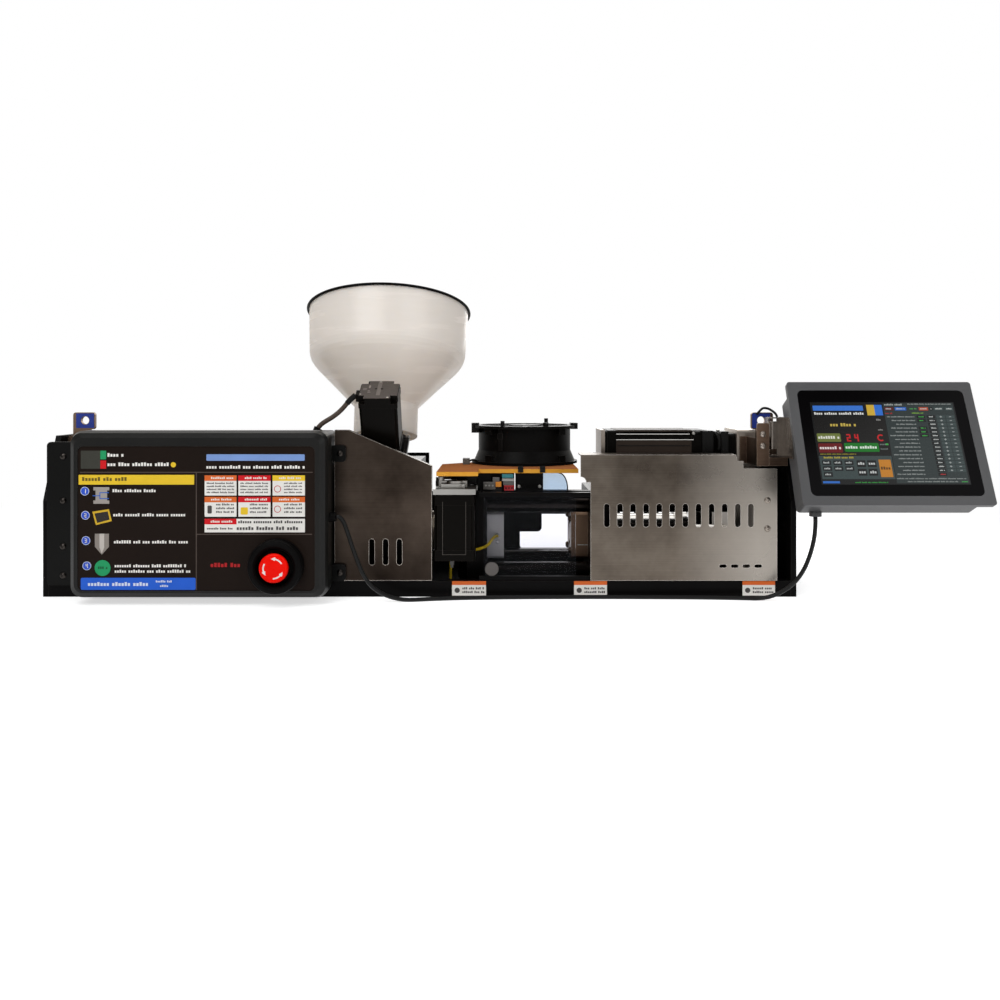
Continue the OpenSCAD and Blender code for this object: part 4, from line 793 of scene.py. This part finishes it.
def print_step_icons(face):
    """The four small pictures beside the steps: mould, screen, hopper and round button."""
    stamp("icon_mould", face, "a49d96", [
        rounded(21.5, 139, 43.5, 143.5), rounded(24.5, 125, 40.5, 139),
        rounded(21.5, 120.5, 43.5, 125)])
    stamp("icon_mould_runner", face, "2f64c4", [
        rounded(20.5, 131, 31, 132.2), rounded(30, 127, 31.2, 136.5),
        rounded(31.2, 135.3, 43, 136.5), rounded(31.2, 127, 43, 128.2)], 2)
    stamp("icon_screen_frame", face, "d9b02c", [[(25, 91), (47, 96.5), (43, 113), (20, 109.5)]])
    stamp("icon_screen", face, ink("2a2521", 0.25),
          [[(26.8, 94), (44, 98.5), (41.5, 110), (23, 107)]], 2)
    stamp("icon_hopper", face, "8d857e", [
        [(23.5, 79), (23.5, 61), (33.2, 50), (43, 61), (43, 79)]])
    stamp("icon_hopper_light", face, "c6bfb8", [
        [(30, 79), (30, 60), (33.2, 51.5), (36.5, 60), (36.5, 79)]], 2)
    stamp("icon_button", face, GREEN, [disc(34.2, 31.5, 11)])
    stamp("icon_button_word", face, "0e5a36", words(28, 41, 29.6, 4, 14), 2)


def print_cards(face):
    """Two rows of three cards and a wide one: a coloured band over a pale field with grey lines."""
    columns = [(175.5, 219.7), (222.2, 266.8), (269.6, 314.4)]
    # Each row's low and high edge, colours, count of lines, and their pitch and height
    rows = [(131.9, 159.8, (ORANGE, RED, YELLOW), 4, 4.2, 2.4),
            (102.5, 130.1, (ORANGE, RED, ORANGE), 3, 5.2, 3.0)]
    band_h, narrow, indent = 7.6, 3, 16
    fields, colours, marks, lines = [], {ORANGE: [], RED: [], YELLOW: []}, [], []
    for r, (v0, v1, bands, count, pitch, height) in enumerate(rows):
        for c, (u0, u1) in enumerate(columns):
            fields.append(rounded(u0, v0, u1, v1 - band_h, 0.6))
            colours[bands[c]].append(rounded(u0, v1 - band_h, u1, v1))
            lines += words(u0 + 9, u1 - 4, v1 - band_h + 2.2, 3.4, 20 + 3 * r + c)
            start = u0 + (narrow if r == 0 and c < 2 else indent)
            for k in range(count):
                marks += words(start, u1 - 3, v1 - band_h - 4.6 - k * pitch, height,
                               40 + 9 * r + 3 * c + k)
    fields.append(rounded(175.5, 80.9, 314.4, 99.7, 0.6))
    colours[RED].append(rounded(175.5, 92, 219.7, 99.7))
    lines += words(184, 216, 94, 3.6, 60)
    marks += (words(222, 311, 93, 4.4, 61) + words(179, 216, 84.5, 3.2, 62)
              + words(220, 308, 83.5, 5.6, 63))
    stamp("card_fields", face, WHITE, fields)
    for n, (colour, outlines) in enumerate(colours.items()):
        stamp(f"card_bands_{n + 1}", face, colour, outlines, 2)
    stamp("card_lines", face, "f3e9e2", lines, 3)
    stamp("card_marks", face, GREY_PRINT, marks, 2)
    stamp("card_rings", face, "c22a2f", [arc_band(276.5, v, 4.4, 0.9, start, 180)
                                         for v in (141, 113) for start in (0, 180)], 2)
    stamp("card_square", face, YELLOW, [rounded(225.5, 105.5, 235.5, 115.5, 1.5)], 2)
    stamp("card_bar", face, GREY_PRINT, [rounded(179.5, 107, 185.5, 118, 1.5)], 2)


print_panel()


# ---- the display's screen

HMI_LEAN = 25
SCREEN_MARGIN = 18    # from the glass's edges to the lit area, mm
SCREEN_BROW = 2       # added to the margin at the top, mm
SCREEN_GLOW = 0.6
SLATE = "3b4848"
SLATE_DARK = "2c3636"
KEY_BLACK = "0f1212"
SIGNAL_RED = "cc1f24"
SIGNAL_GREEN = "3fae4a"


@functools.cache
def lit(colour):
    """A colour shown by the screen: it shines a little through the glass."""
    mat, nt, shader = start_material(f"lit_{colour}")
    pixels = noise(nt, 900.0, 2.0)
    plug(nt, shader, {
        "Emission Color": blend(nt, pixels, shade(colour, 0.9), shade(colour, 1.08)),
        "Base Color": blend(nt, pixels, shade(colour, 0.15), shade(colour, 0.3)),
        "Roughness": remap(nt, pixels, 0.3, 0.7, 0.2, 0.3),
        "Emission Strength": SCREEN_GLOW, "Specular IOR Level": 0.2})
    return mat


class Screen:
    """The lit area, laid out from its upper left corner in shares of its width and height.

    A plate is (left, top, right, bottom, corner), and a line of print is
    (left, right, top, bottom, seed).
    """

    def __init__(self):
        tilt = math.radians(HMI_LEAN)
        up = Vector((0, math.sin(tilt), math.cos(tilt)))
        out = Vector((0, -math.cos(tilt), math.sin(tilt)))
        points = [v.co for v in NODES["hmi_glass"].data.vertices]
        xs, vs = [p.x for p in points], [p.dot(up) for p in points]
        corner = Vector((min(xs), 0, 0)) + up * min(vs) + out * max(p.dot(out) for p in points)
        self.face = Face(corner, up, "display")
        self.w = (max(xs) - min(xs)) / MM - 2 * SCREEN_MARGIN
        self.h = (max(vs) - min(vs)) / MM - 2 * SCREEN_MARGIN - SCREEN_BROW
        self.plates = {}

    def spot(self, s, t):
        """u and v of a place on the screen."""
        return SCREEN_MARGIN + s * self.w, SCREEN_MARGIN + (1 - t) * self.h

    def add(self, colour, layer, outlines):
        self.plates.setdefault((colour, layer), []).extend(outlines)

    def fill(self, colour, layer, *plates):
        for s0, t0, s1, t1, *r in plates:
            self.add(colour, layer, [rounded(*self.spot(s0, t1), *self.spot(s1, t0), *r)])

    def text(self, colour, *lines, layer=3):
        for s0, s1, t0, t1, seed in lines:
            u0, v0 = self.spot(s0, t1)
            self.add(colour, layer, words(u0, self.spot(s1, t1)[0], v0, (t1 - t0) * self.h, seed))

    def button(self, colour, s0, t0, s1, t1, label, seed, r):
        """A button with a line of print across its middle."""
        self.fill(colour, 3, (s0, t0, s1, t1, r))
        middle, half = (t0 + t1) / 2, min(0.02, (t1 - t0) * 0.22)
        self.text(label, (s0 + 0.008, s1 - 0.006, middle - half, middle + half, seed), layer=4)

    def make(self):
        for n, ((colour, layer), outlines) in enumerate(sorted(self.plates.items())):
            stamp(f"screen_{layer}_{n:02d}", self.face, lit(colour), outlines, layer)


def left_column(screen):
    """Title, status, the temperature with its buttons, and the manual controls."""
    fill, text, button = screen.fill, screen.text, screen.button
    fill("3a78d6", 3, (0.005, 0.03, 0.36, 0.095, 0.6))
    text("e7e7e4", (0.01, 0.37, 0.115, 0.15, 1))
    fill("d8b23c", 3, (0.385, 0.02, 0.44, 0.155))
    fill("2f73d8", 3, (0.44, 0.02, 0.495, 0.155))
    fill("131110", 2, (0.0, 0.18, 0.5, 0.66))
    text("c9b04e", (0.11, 0.3, 0.255, 0.3, 2))
    text("8d8d8a", (0.44, 0.48, 0.2, 0.225, 3), (0.44, 0.48, 0.33, 0.35, 4))
    button("6f7a3c", 0.005, 0.385, 0.17, 0.49, "e8e8dc", 5, 1.6)
    button("6b1216", 0.005, 0.51, 0.17, 0.625, "efe4e2", 6, 1.6)
    button("10761f", 0.185, 0.505, 0.425, 0.615, "e4f2e4", 7, 1.6)
    u, v = screen.spot(0.255, 0.44)
    screen.add(SIGNAL_RED, 3, digit(2, u - 6, v, 11) + digit(4, u + 5, v, 11))
    screen.add(SIGNAL_RED, 3, [arc_band(screen.spot(0.45, 0.44)[0], v, 4.2, 2, 50, 260)])
    text("6d7775", (0.435, 0.495, 0.51, 0.535, 8), (0.435, 0.495, 0.57, 0.59, 9))
    fill(SIGNAL_GREEN, 4, (0.475, 0.512, 0.493, 0.532))
    text("a99d2e", (0.01, 0.26, 0.637, 0.65, 10))
    fill(SLATE, 2, (0.0, 0.665, 0.5, 0.95))
    text("b5a637", (0.03, 0.25, 0.675, 0.7, 11))
    for n in range(7):
        s, t = 0.015 + n % 3 * 0.077, 0.722 + n // 3 * 0.072
        button("15191a", s, t, s + 0.06, t + 0.055, "b9bdbc", 20 + n, 0.4)
    for n in range(4):
        s, t = 0.252 + n % 2 * 0.074, 0.72 + n // 2 * 0.105
        button("101213", s, t, s + 0.06, t + 0.082, "c9cccb", 30 + n, 0.4)
    button("c98224", 0.405, 0.712, 0.488, 0.925, "5b3a10", 40, 0.4)
    fill("2f6fc9", 3, (0.0, 0.975, 0.115, 1.0))
    text("2f9b3a", (0.22, 0.45, 0.982, 0.998, 41))


def right_column(screen):
    """A settings table: named rows, their values, and plus and minus keys."""
    fill, text, button = screen.fill, screen.text, screen.button
    fill(SLATE_DARK, 2, (0.505, 0.0, 1.0, 1.0))
    text("a9aeac", (0.515, 0.65, 0.005, 0.03, 50), (0.68, 0.99, 0.004, 0.016, 51))
    tabs = (("5e1718", 0.512, 0.575), ("2a67c4", 0.585, 0.665), ("b5492e", 0.755, 0.82),
            ("161a1a", 0.83, 0.85), (SLATE, 0.862, 0.925), (SLATE, 0.94, 0.995))
    for n, (colour, s0, s1) in enumerate(tabs):
        button(colour, s0, 0.05, s1, 0.092, "c8ccca", 60 + n, 0.3)
    text("49a653", (0.69, 0.745, 0.06, 0.08, 66))
    text("b0272b", (0.512, 0.56, 0.12, 0.14, 67))
    text("7fae3c", (0.7, 0.78, 0.118, 0.134, 68))
    count, pitch, top = 16, 0.0478, 0.155
    for row in range(count):
        last = row == count - 1
        t0 = top + row * pitch
        t1 = t0 + pitch * 0.78
        mid = (t0 + t1) / 2
        start = 0.52 + (row * 7 % 5) * 0.014
        text("9aa09e", (start, 0.715, mid - 0.008, mid + 0.008, 70 + row))
        fill(KEY_BLACK, 3, (0.8, t0, 0.858, t1))
        text("c23034" if last else "c9cdcb",
             (0.815, 0.855, mid - 0.008, mid + 0.009, 90 + row), layer=4)
        if row in (0, 1, 3, 4, 5):
            fill(KEY_BLACK, 3, (0.728, t0, 0.788, t1))
            text("43b24c", (0.742, 0.782, mid - 0.008, mid + 0.009, 110 + row), layer=4)
        if not last:
            for s0 in (0.868, 0.934):
                fill(SLATE, 3, (s0, t0, s0 + 0.06, t1, 0.3))
                fill("b4b9b7", 4, (s0 + 0.022, mid - 0.003, s0 + 0.038, mid + 0.003))
            fill("b4b9b7", 4, (0.8965, mid - 0.012, 0.8995, mid + 0.012))
    text("8d9391", (0.51, 0.99, 0.935, 0.952, 130), (0.58, 0.93, 0.972, 0.988, 131))
    text(SIGNAL_GREEN, (0.95, 0.99, 0.972, 0.988, 132))


def print_screen():
    screen = Screen()
    screen.fill("0d0f10", 1, (-0.01, -0.015, 1.01, 1.015, 0.5))
    left_column(screen)
    right_column(screen)
    screen.make()


print_screen()


# ---- mould space and board

BOARD_LOW, BOARD_HIGH = box_mm("fan_board")
STAND_LOW = box_mm("fan_bracket")[0]
MOULD_LOW, MOULD_HIGH = box_mm("fixed_mould_half")
VALVE_LOW, VALVE_HIGH = box_mm("valve_motor")
LINK_LOW, LINK_HIGH = box_mm("valve_link")
FAN_LOW, FAN_HIGH = box_mm("fan_housing")
PAN_LOW = box_mm("base_pan")[0]
PLATEN_LOW, PLATEN_HIGH = box_mm("fixed_platen")
FAN_MIDDLE = (FAN_LOW + FAN_HIGH) / 2
FAN_SIZE = FAN_HIGH - FAN_LOW
FOOT = BOARD_LOW.z - 27    # the cross bar's height, on which the terminals stand


def mould_sensor():
    """The yellow sensor wire, from its gland in the fixed half down behind the valve motor."""
    hole = Vector((MOULD_HIGH.x - 10, MOULD_LOW.y, (MOULD_LOW.z + MOULD_HIGH.z) / 2))
    gland = Shape(hole).rod((0, 0, 0), (0, -4, 0), 4.2, sides=6)
    gland.rod((0, -4, 0), (0, -7, 0), 3.2).rod((0, 0, -10), (0, -3.5, -10), 3.4, 2.8)
    gland.done("sensor_gland", ZINC)
    gap = (VALVE_HIGH.y + PLATEN_LOW.y) / 2 - hole.y   # between the motor and the platen's edge
    right, drop = PLATEN_HIGH.x - hole.x, VALVE_LOW.x + 22 - hole.x
    route = [(0, -6, 0), (-3, -13, 0.5), (-6.5, -23, -0.5), (-10, -34, -3.5),
             (right + 2, gap + 1, -7.5)]
    route += [(x, gap, z) for x, z in (
        (right - 4, -11), (right - 13, -14), (right - 25, -16), (right - 37, -17),
        (drop + 7, -18), (drop + 2, -23), (drop, -31), (drop - 0.5, -44),
        (drop - 1, PAN_LOW.z + 5 - hole.z))]
    wire("sensor_wire", WIRE_YELLOW, 4.4, hole, route)


def valve_motor_parts():
    """Valve motor plug, painted highlight lines on its front, switch blocks behind its crank."""
    wide, tall, inset = VALVE_HIGH.x - VALVE_LOW.x, VALVE_HIGH.z - VALVE_LOW.z, 13.2
    plug = Shape(VALVE_LOW + Vector((26, 22, 0)))
    plug.block((-3, -6, -9), (3, 6, 0), 0.8).block((-2, -4, -13), (2, 4, -9), 0.6)
    plug.done("valve_motor_plug", PLASTIC_GREY)
    # Grey strips round the front's inner panel: painted highlight lines on its edges
    thin_strips = Shape(VALVE_LOW)
    for side in (inset, wide - inset):
        thin_strips.block((side - 0.4, -0.5, 9), (side + 0.4, 1, tall - 10), 0.2)
    thin_strips.block((inset, -0.5, 9), (wide - inset, 1, 9.8), 0.2)
    thin_strips.done("valve_motor_highlight_lines", HIGHLIGHT_LINE_GREY)
    foot = VALVE_HIGH.z + 10
    Shape().block((LINK_HIGH.x + 17, VALVE_HIGH.y - 6, foot),
                  (VALVE_HIGH.x + 1, VALVE_HIGH.y + 24, BOARD_LOW.z), 1.0).done(
                      "valve_switch_block", PLASTIC_BLACK)
    Shape().block((LINK_LOW.x + 6, LINK_HIGH.y + 27, foot),
                  (PLATEN_LOW.x - 2, LINK_HIGH.y + 49, BOARD_LOW.z), 1.0).done(
                      "valve_rear_block", PLASTIC_BLACK)


def stand_screws():
    """Two screws on the board's main stand."""
    screws = Shape((FAN_MIDDLE.x, STAND_LOW.y, BOARD_LOW.z - 20.2))
    screws.screw((-11.4, 0, 0), FRONT, 2.6).screw((19.7, 0, 0), FRONT, 2.6)
    screws.done("stand_screws", ZINC)


def terminals():
    """Lever terminals on the cross bar, under the board's edge."""
    at = Vector((MOULD_LOW.x - 5, STAND_LOW.y, FOOT))
    bar_low, bar_high = PLATEN_HIGH.x - 20 - at.x, FAN_MIDDLE.x - 18 - at.x
    grey, black, red, orange, teal, metal = (Shape(at) for _ in range(6))
    grey.block((0, -9, 3), (18, -0.3, 14), 0.8).block((14, -8, 14), (24, -1, 21), 0.8)
    grey.block((30, -5, 9), (46, 8, 15), 0.8).done("terminal_bodies", PLASTIC_GREY)
    black.block((bar_low, 18, 0), (bar_high, 21, 26), 0.3).block((0, -8, -1), (28, -0.3, 3), 0.5)
    black.block((18.4, -8.5, 3), (28, -0.3, 7), 0.5)
    for k in range(3):
        metal.rod((4 + 5 * k, -9.4, 9), (4 + 5 * k, -8.4, 9), 1.4, sides=16)
        black.rod((34 + 4.5 * k, -6.6, 5), (34 + 4.5 * k, -5.6, 5), 1.3, sides=16)
    black.done("terminal_feet", PLASTIC_BLACK)
    red.block((31, -6, 1), (46, 8, 9), 0.8).done("terminal_red", PLASTIC_RED)
    orange.block((18.4, -9.5, 7), (27, -0.5, 14.5), 0.8).done("terminal_lever", PLASTIC_ORANGE)
    teal.block((28, -4, 20), (45, 8, 25.5), 0.8).done("terminal_teal", PLASTIC_TEAL)
    metal.block((28, -5, 15.3), (46, 6, 19.5), 0.6).done("terminal_metal", ZINC)


def clear_shield():
    """A small clear shield with a round end, edged by a cable, right of the board's stand."""
    corner = Vector((FAN_MIDDLE.x + 25.5, STAND_LOW.y + 12, FOOT))
    reach, high, bend_u, bend_v = 37.0, 26.0, 13, 24
    bend = [(reach - bend_u + bend_u * u, high - bend_v + bend_v * v)
            for u, v in arc(0, 0, 1, 6, 78, 13)]
    outline = [(0, 0), (reach, 0), *bend, (reach - bend_u, high), (0, high)]
    stamp("shield", Face(corner * MM), SHIELD_CLEAR, [outline], 1, 1.2)
    wire("shield_cable", WIRE_BLACK, 1.8, corner, [(u, -0.6, v) for u, v in outline[1:-1]], 2)


def board_fittings():
    """Black clips on the board before the fan, and the fan's grey plug at its left."""
    clips = Shape((FAN_MIDDLE.x, STAND_LOW.y - 3.7, BOARD_HIGH.z))
    for x in (-9, 24):
        clips.block((x - 4, 0, 0), (x + 4, 16, 4), 0.8).block((x - 4, 0, -5), (x + 4, 2.5, 2), 0.8)
    clips.done("board_clips", PLASTIC_BLACK)
    at = (BOARD_LOW.x + 33, 0, BOARD_HIGH.z)
    plug = Shape(at).block((0, -9, 0), (11, 5, 10), 1.0)
    plug.rod((5, -9.6, 6), (5, -8.6, 6), 2.2, sides=18).done("fan_plug", PLASTIC_GREY)
    wire("fan_plug_lead", WIRE_BLACK, 3, at, [(10, -2, 5), (16, -1, 7), (24, 0, 5), (30, 1, 4)])


def fan_strap():
    """The flat strap down the front of the fan's duct, with its buckle."""
    angle = math.radians(239)
    out = Vector((math.cos(angle), math.sin(angle), 0))
    turn = Matrix.Rotation(angle, 3, "Z")
    strap = Shape(FAN_MIDDLE + out * (FAN_SIZE.x / 2 - 10.4))
    strap.block((-0.8, -3, 58 - FAN_SIZE.z), (0.8, 3, 24), 0.3, turn)
    strap.block((-1.6, -4.5, 8), (1.6, 4.5, 16), 0.5, turn).done("fan_strap", PLASTIC_BLACK)


def fan_ears():
    """Screw ears of the fan's upper flange at both sides, and the heads that stand above it."""
    half, depth = FAN_SIZE.x / 2, FAN_SIZE.y * 0.15
    ears = Shape((FAN_MIDDLE.x, FAN_MIDDLE.y, FAN_HIGH.z))
    ears.block((-half, -depth, -18), (12 - half, 0, -2))
    ears.block((half - 12, -depth, -12), (half - 0.5, 0, -2))
    for x, y, rise in ((35, -12, 5), (-36, -66, 2.4)):
        ears.rod((x, y, -6), (x, y, rise), 3.2)
    ears.done("fan_ears", PLASTIC_BLACK)


def moving_trim():
    """The valve crank's clamping bar with its screw, and a painted highlight line on the moving
    half.
    """
    low, high = box_mm("valve_crank")
    wide = high.x - low.x
    bar = Shape(low).block((9, -2.5, 7), (wide - 3, 3, 14), 0.8)
    bar.screw((wide - 9, -2.5, 10.5), FRONT, 1.8)
    bar.done("crank_bar", ZINC, NODES["valve_crank"]["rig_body"])
    # A bright strip across the moving half's front: a painted highlight line
    low, high = box_mm("moving_mould_half")
    Shape(low).block((14, -0.6, 20.6), (high.x - low.x, 1, 22), 0.2).done(
        "mould_highlight_line", ZINC, NODES["moving_mould_half"]["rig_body"])


mould_sensor()
valve_motor_parts()
stand_screws()
terminals()
clear_shield()
board_fittings()
fan_strap()
fan_ears()
moving_trim()


# ---- hopper motor and clamp drive

DRIVE_LOW, DRIVE_HIGH = box_mm("clamp_motor")
LUG_FRONT = box_mm("lifting_lugs")[0].y


def hopper_motor_cap():
    """The motor's end cap: a stepped plate, a lighter strap, two vent holes and short marks."""
    low, high = box_mm("hopper_motor")
    side, lean = 57.0, math.radians(27)
    corner = Vector((high.x - side, low.y, high.z - side * math.sin(lean)))
    face = Face(corner * MM, (0, math.cos(lean), math.sin(lean)))
    plate = [(8.4, 1), (46, 1), (46, 10), (56, 10), (56, 47), (47.7, 47), (47.7, 56), (12, 56),
             (12, 47), (1, 47), (1, 10), (8.4, 10)]
    stamp("motor_cap", face, BRONZE_GREY, [plate], 1, 0.8)
    stamp("motor_cap_strap", face, STRAP_GREY, [rounded(25.3, 10, 31, 55, 1)], 8)
    stamp("motor_cap_holes", face, SOCKET, [disc(23.6, 30.5, 2), disc(32, 30.5, 2)], 9)
    stamp("motor_cap_marks", face, "8c817a", [
        rounded(4.7, 27, 10, 28.2), rounded(4.7, 31, 10, 32.2), rounded(12.5, 33, 15, 42, 1),
        rounded(12, 19, 16.5, 20.4), rounded(12, 23, 15, 25)], 8)
    stamp("motor_cap_rivets", face, CHROME, [disc(2.6, 13.5, 1.3), disc(42.9, 3.2, 1.7),
                                             disc(28.2, 53, 1.5)], 9)


def lead_ends():
    """A black sleeve where the lead leaves the motor, and a grommet where it goes in."""
    first = Vector(HOPPER_LEAD_MM[0]) + Vector((1.5, 0, 1.4))
    wire("lead_sleeve", WIRE_BLACK, 8.4, (0, 0, 0), [first, *HOPPER_LEAD_MM[1:4]])
    Shape(HOPPER_LEAD_MM[-1]).rod((1.6, 0.3, 1.7), (-1.6, -0.3, -4), 6.2, 5.2).done(
        "lead_grommet", PLASTIC_BLACK)


def neck_screw():
    """The thumb screw under the right side of the hopper's neck."""
    block = box_mm("feed_block")[1]
    screw = Shape((block.x - 20, -26, block.z - 7)).rod((0, 0, 0), (-1, -1, -6), 2.8)
    screw.rod((-1, -1, -6), (-1.2, -1.2, -7.4), 1.6).done("neck_screw", ZINC)


def clamp_motor_parts():
    """The clamp motor's nickel flange, its finned body with bright ribs, and its connectors."""
    at = (DRIVE_LOW.x, DRIVE_LOW.y, DRIVE_HIGH.z)
    _, deep, tall = DRIVE_HIGH - DRIVE_LOW
    Shape(at).block((-0.8, -0.8, 1 - tall), (5, deep + 0.8, 0.6), 0.6).done(
        "clamp_motor_flange", NICKEL)
    fins = Shape(at).block((22, -0.8, 2 - tall), (136, 2, -15.2), 0.4)
    fins.block((22, 0.5, -2), (136, deep - 4, 0.6), 0.4).done("clamp_motor_fins", FIN_DARK)
    thin_strips = Shape(at).block((22, -1.4, -6.4), (133, 1, -4.8), 0.3)
    thin_strips.block((22, -1.4, -14.9), (139, 1, -13.4), 0.3).done("clamp_motor_ribs", CHROME)
    black = Shape(at).block((24, -1, -24), (134, 0, -22.6), 0.2)
    black.block((152, -2.5, 10 - tall), (169, 30, -0.5), 1.0)
    black.block((180, -2, 10 - tall), (192, 30, -1.5), 1.0)
    black.rod((141, -1.2, -4), (149, -1.2, -3), 2.2, 1.6, sides=16)
    black.done("clamp_motor_connectors", PLASTIC_BLACK)
    wire("clamp_motor_cable", WIRE_BLACK, 6, at, [
        (170, 2, -4), (173, -2, -5), (176, -4, -10), (177.5, -4, -18), (177, -3, -30)])
    screws = Shape(at).screw((139, -0.6, -4.6), FRONT, 2.6).screw((177, 6, -1), (0, -0.3, 1), 2.8)
    screws.done("clamp_motor_screws", ZINC)


def lug_details():
    """Blue stickers on the lifting lugs, the bright bolts of the right one and its cable loop."""
    eye = Vector((512.05, LUG_FRONT, 254.0))
    eye_r, half, rise, drop = 6.6, 13.5, 10.5, 11.5
    right = [(0, -drop), (half, -drop), (half, rise), (0, rise)] + arc(0, 0, eye_r, 90, -180, 18)
    left = [(-u, v) for u, v in right]
    for side, name in ((-1, "left"), (1, "right")):
        face = Face(Vector((side * eye.x, eye.y, eye.z)) * MM)
        stamp(f"lug_sticker_{name}", face, STICKER_BLUE, [right, left])
    bolts = Shape(eye)
    for x, z, r in ((1.8, -21.2, 4.8), (3.8, -38, 4.6)):
        bolts.rod((x, 0, z), (x, -2.2, z), r).rod((x, -2.2, z), (x, -4.4, z), r, r * 0.45)
    bolts.done("lug_bolts", CHROME)
    wire("lug_cable", WIRE_BLACK, 3.6, eye, [
        (-7, -1.4, 9), (-3, -2.4, 14), (2, -3.4, 18.5), (9, -4.4, 18), (14, -7.4, 15),
        (18, -11.4, 11), (20, -15.4, 6)])


hopper_motor_cap()
lead_ends()
neck_screw()
clamp_motor_parts()
lug_details()


# ---- marks on the pan and the stop

def rail_cards():
    """Three plain two-tone cards on the pan's front edge, with grey bars and no lettering."""
    face = Face((0, PAN_LOW.y * MM, 0))
    low, high, band = 1.8, 22.7, 5.6
    fields, bands, bars, spots = [], [], [], []
    for n, (u0, u1) in enumerate(((46.9, 96.2), (223.9, 271.7), (468.3, 515.5))):
        fields.append(rounded(u0, low, u1, high - band))
        bands.append(rounded(u0, high - band, u1, high))
        bars += words(u0 + 15, u1 - 3, 10.4, 3.6, 200 + n) + words(u0 + 15, u1 - 2, 5, 3.6, 210 + n)
        spots.append(disc(u0 + 7.5, 9.4, 3.8, 20))
    stamp("rail_card_fields", face, WHITE, fields)
    stamp("rail_card_bands", face, ORANGE, bands)
    stamp("rail_card_bars", face, GREY_PRINT, bars, 2)
    stamp("rail_card_spots", face, GREY_PRINT, spots, 2)


def drape(name, node, body, mat, strips, lift_mm):
    """Print that follows a rounded front: strips of (x, z) pairs in mm, laid on the node."""
    mesh = NODES[node].data
    tree = BVHTree.FromPolygons([v.co for v in mesh.vertices],
                                [tuple(p.vertices) for p in mesh.polygons])
    lift = Vector((0, lift_mm * MM, 0))
    bm = bmesh.new()
    for strip in strips:
        rows = []
        for pair in strip:
            hits = [tree.ray_cast(Vector((x * MM, -1, z * MM)), Vector((0, 1, 0)))[0]
                    for x, z in pair]
            rows.append([(bm.verts.new(hit - lift), bm.verts.new(hit + lift)) for hit in hits])
        for (a, b), (c, d) in zip(rows, rows[1:]):
            for ring in ((a[0], b[0], d[0], c[0]), (a[1], c[1], d[1], b[1]),
                         (a[0], c[0], c[1], a[1]), (b[0], b[1], d[1], d[0])):
                bm.faces.new(ring)
        for a, b in (rows[0], rows[-1]):
            bm.faces.new((a[0], a[1], b[1], b[0]))
    bmesh.ops.recalc_face_normals(bm, faces=bm.faces)
    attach(finish_mesh(name, bm, mat), body)


def stop_arrows():
    """Three curved arrows round the stop button's dome: the way it turns to let go."""
    low, high = box_mm("estop_head")
    middle, radius = (low + high) / 2, (high.x - low.x) * 0.335
    steps, tip = 16, 11    # steps along an arrow, and the step where its head starts
    strips = []
    for start in (30, 150, 270):
        strip = []
        for k in range(steps + 1):
            half = 1.0 if k < tip else max(0.08, 2.6 * (steps - k) / (steps - tip))
            angle = math.radians(start + 4.5 * k)
            strip.append([(middle.x + r * math.cos(angle), middle.z + r * math.sin(angle))
                          for r in (radius - half, radius + half)])
        strips.append(strip)
    drape("stop_arrows", "estop_head", "estop_head", ink("f4e9e6"), strips, 0.15)


rail_cards()
stop_arrows()
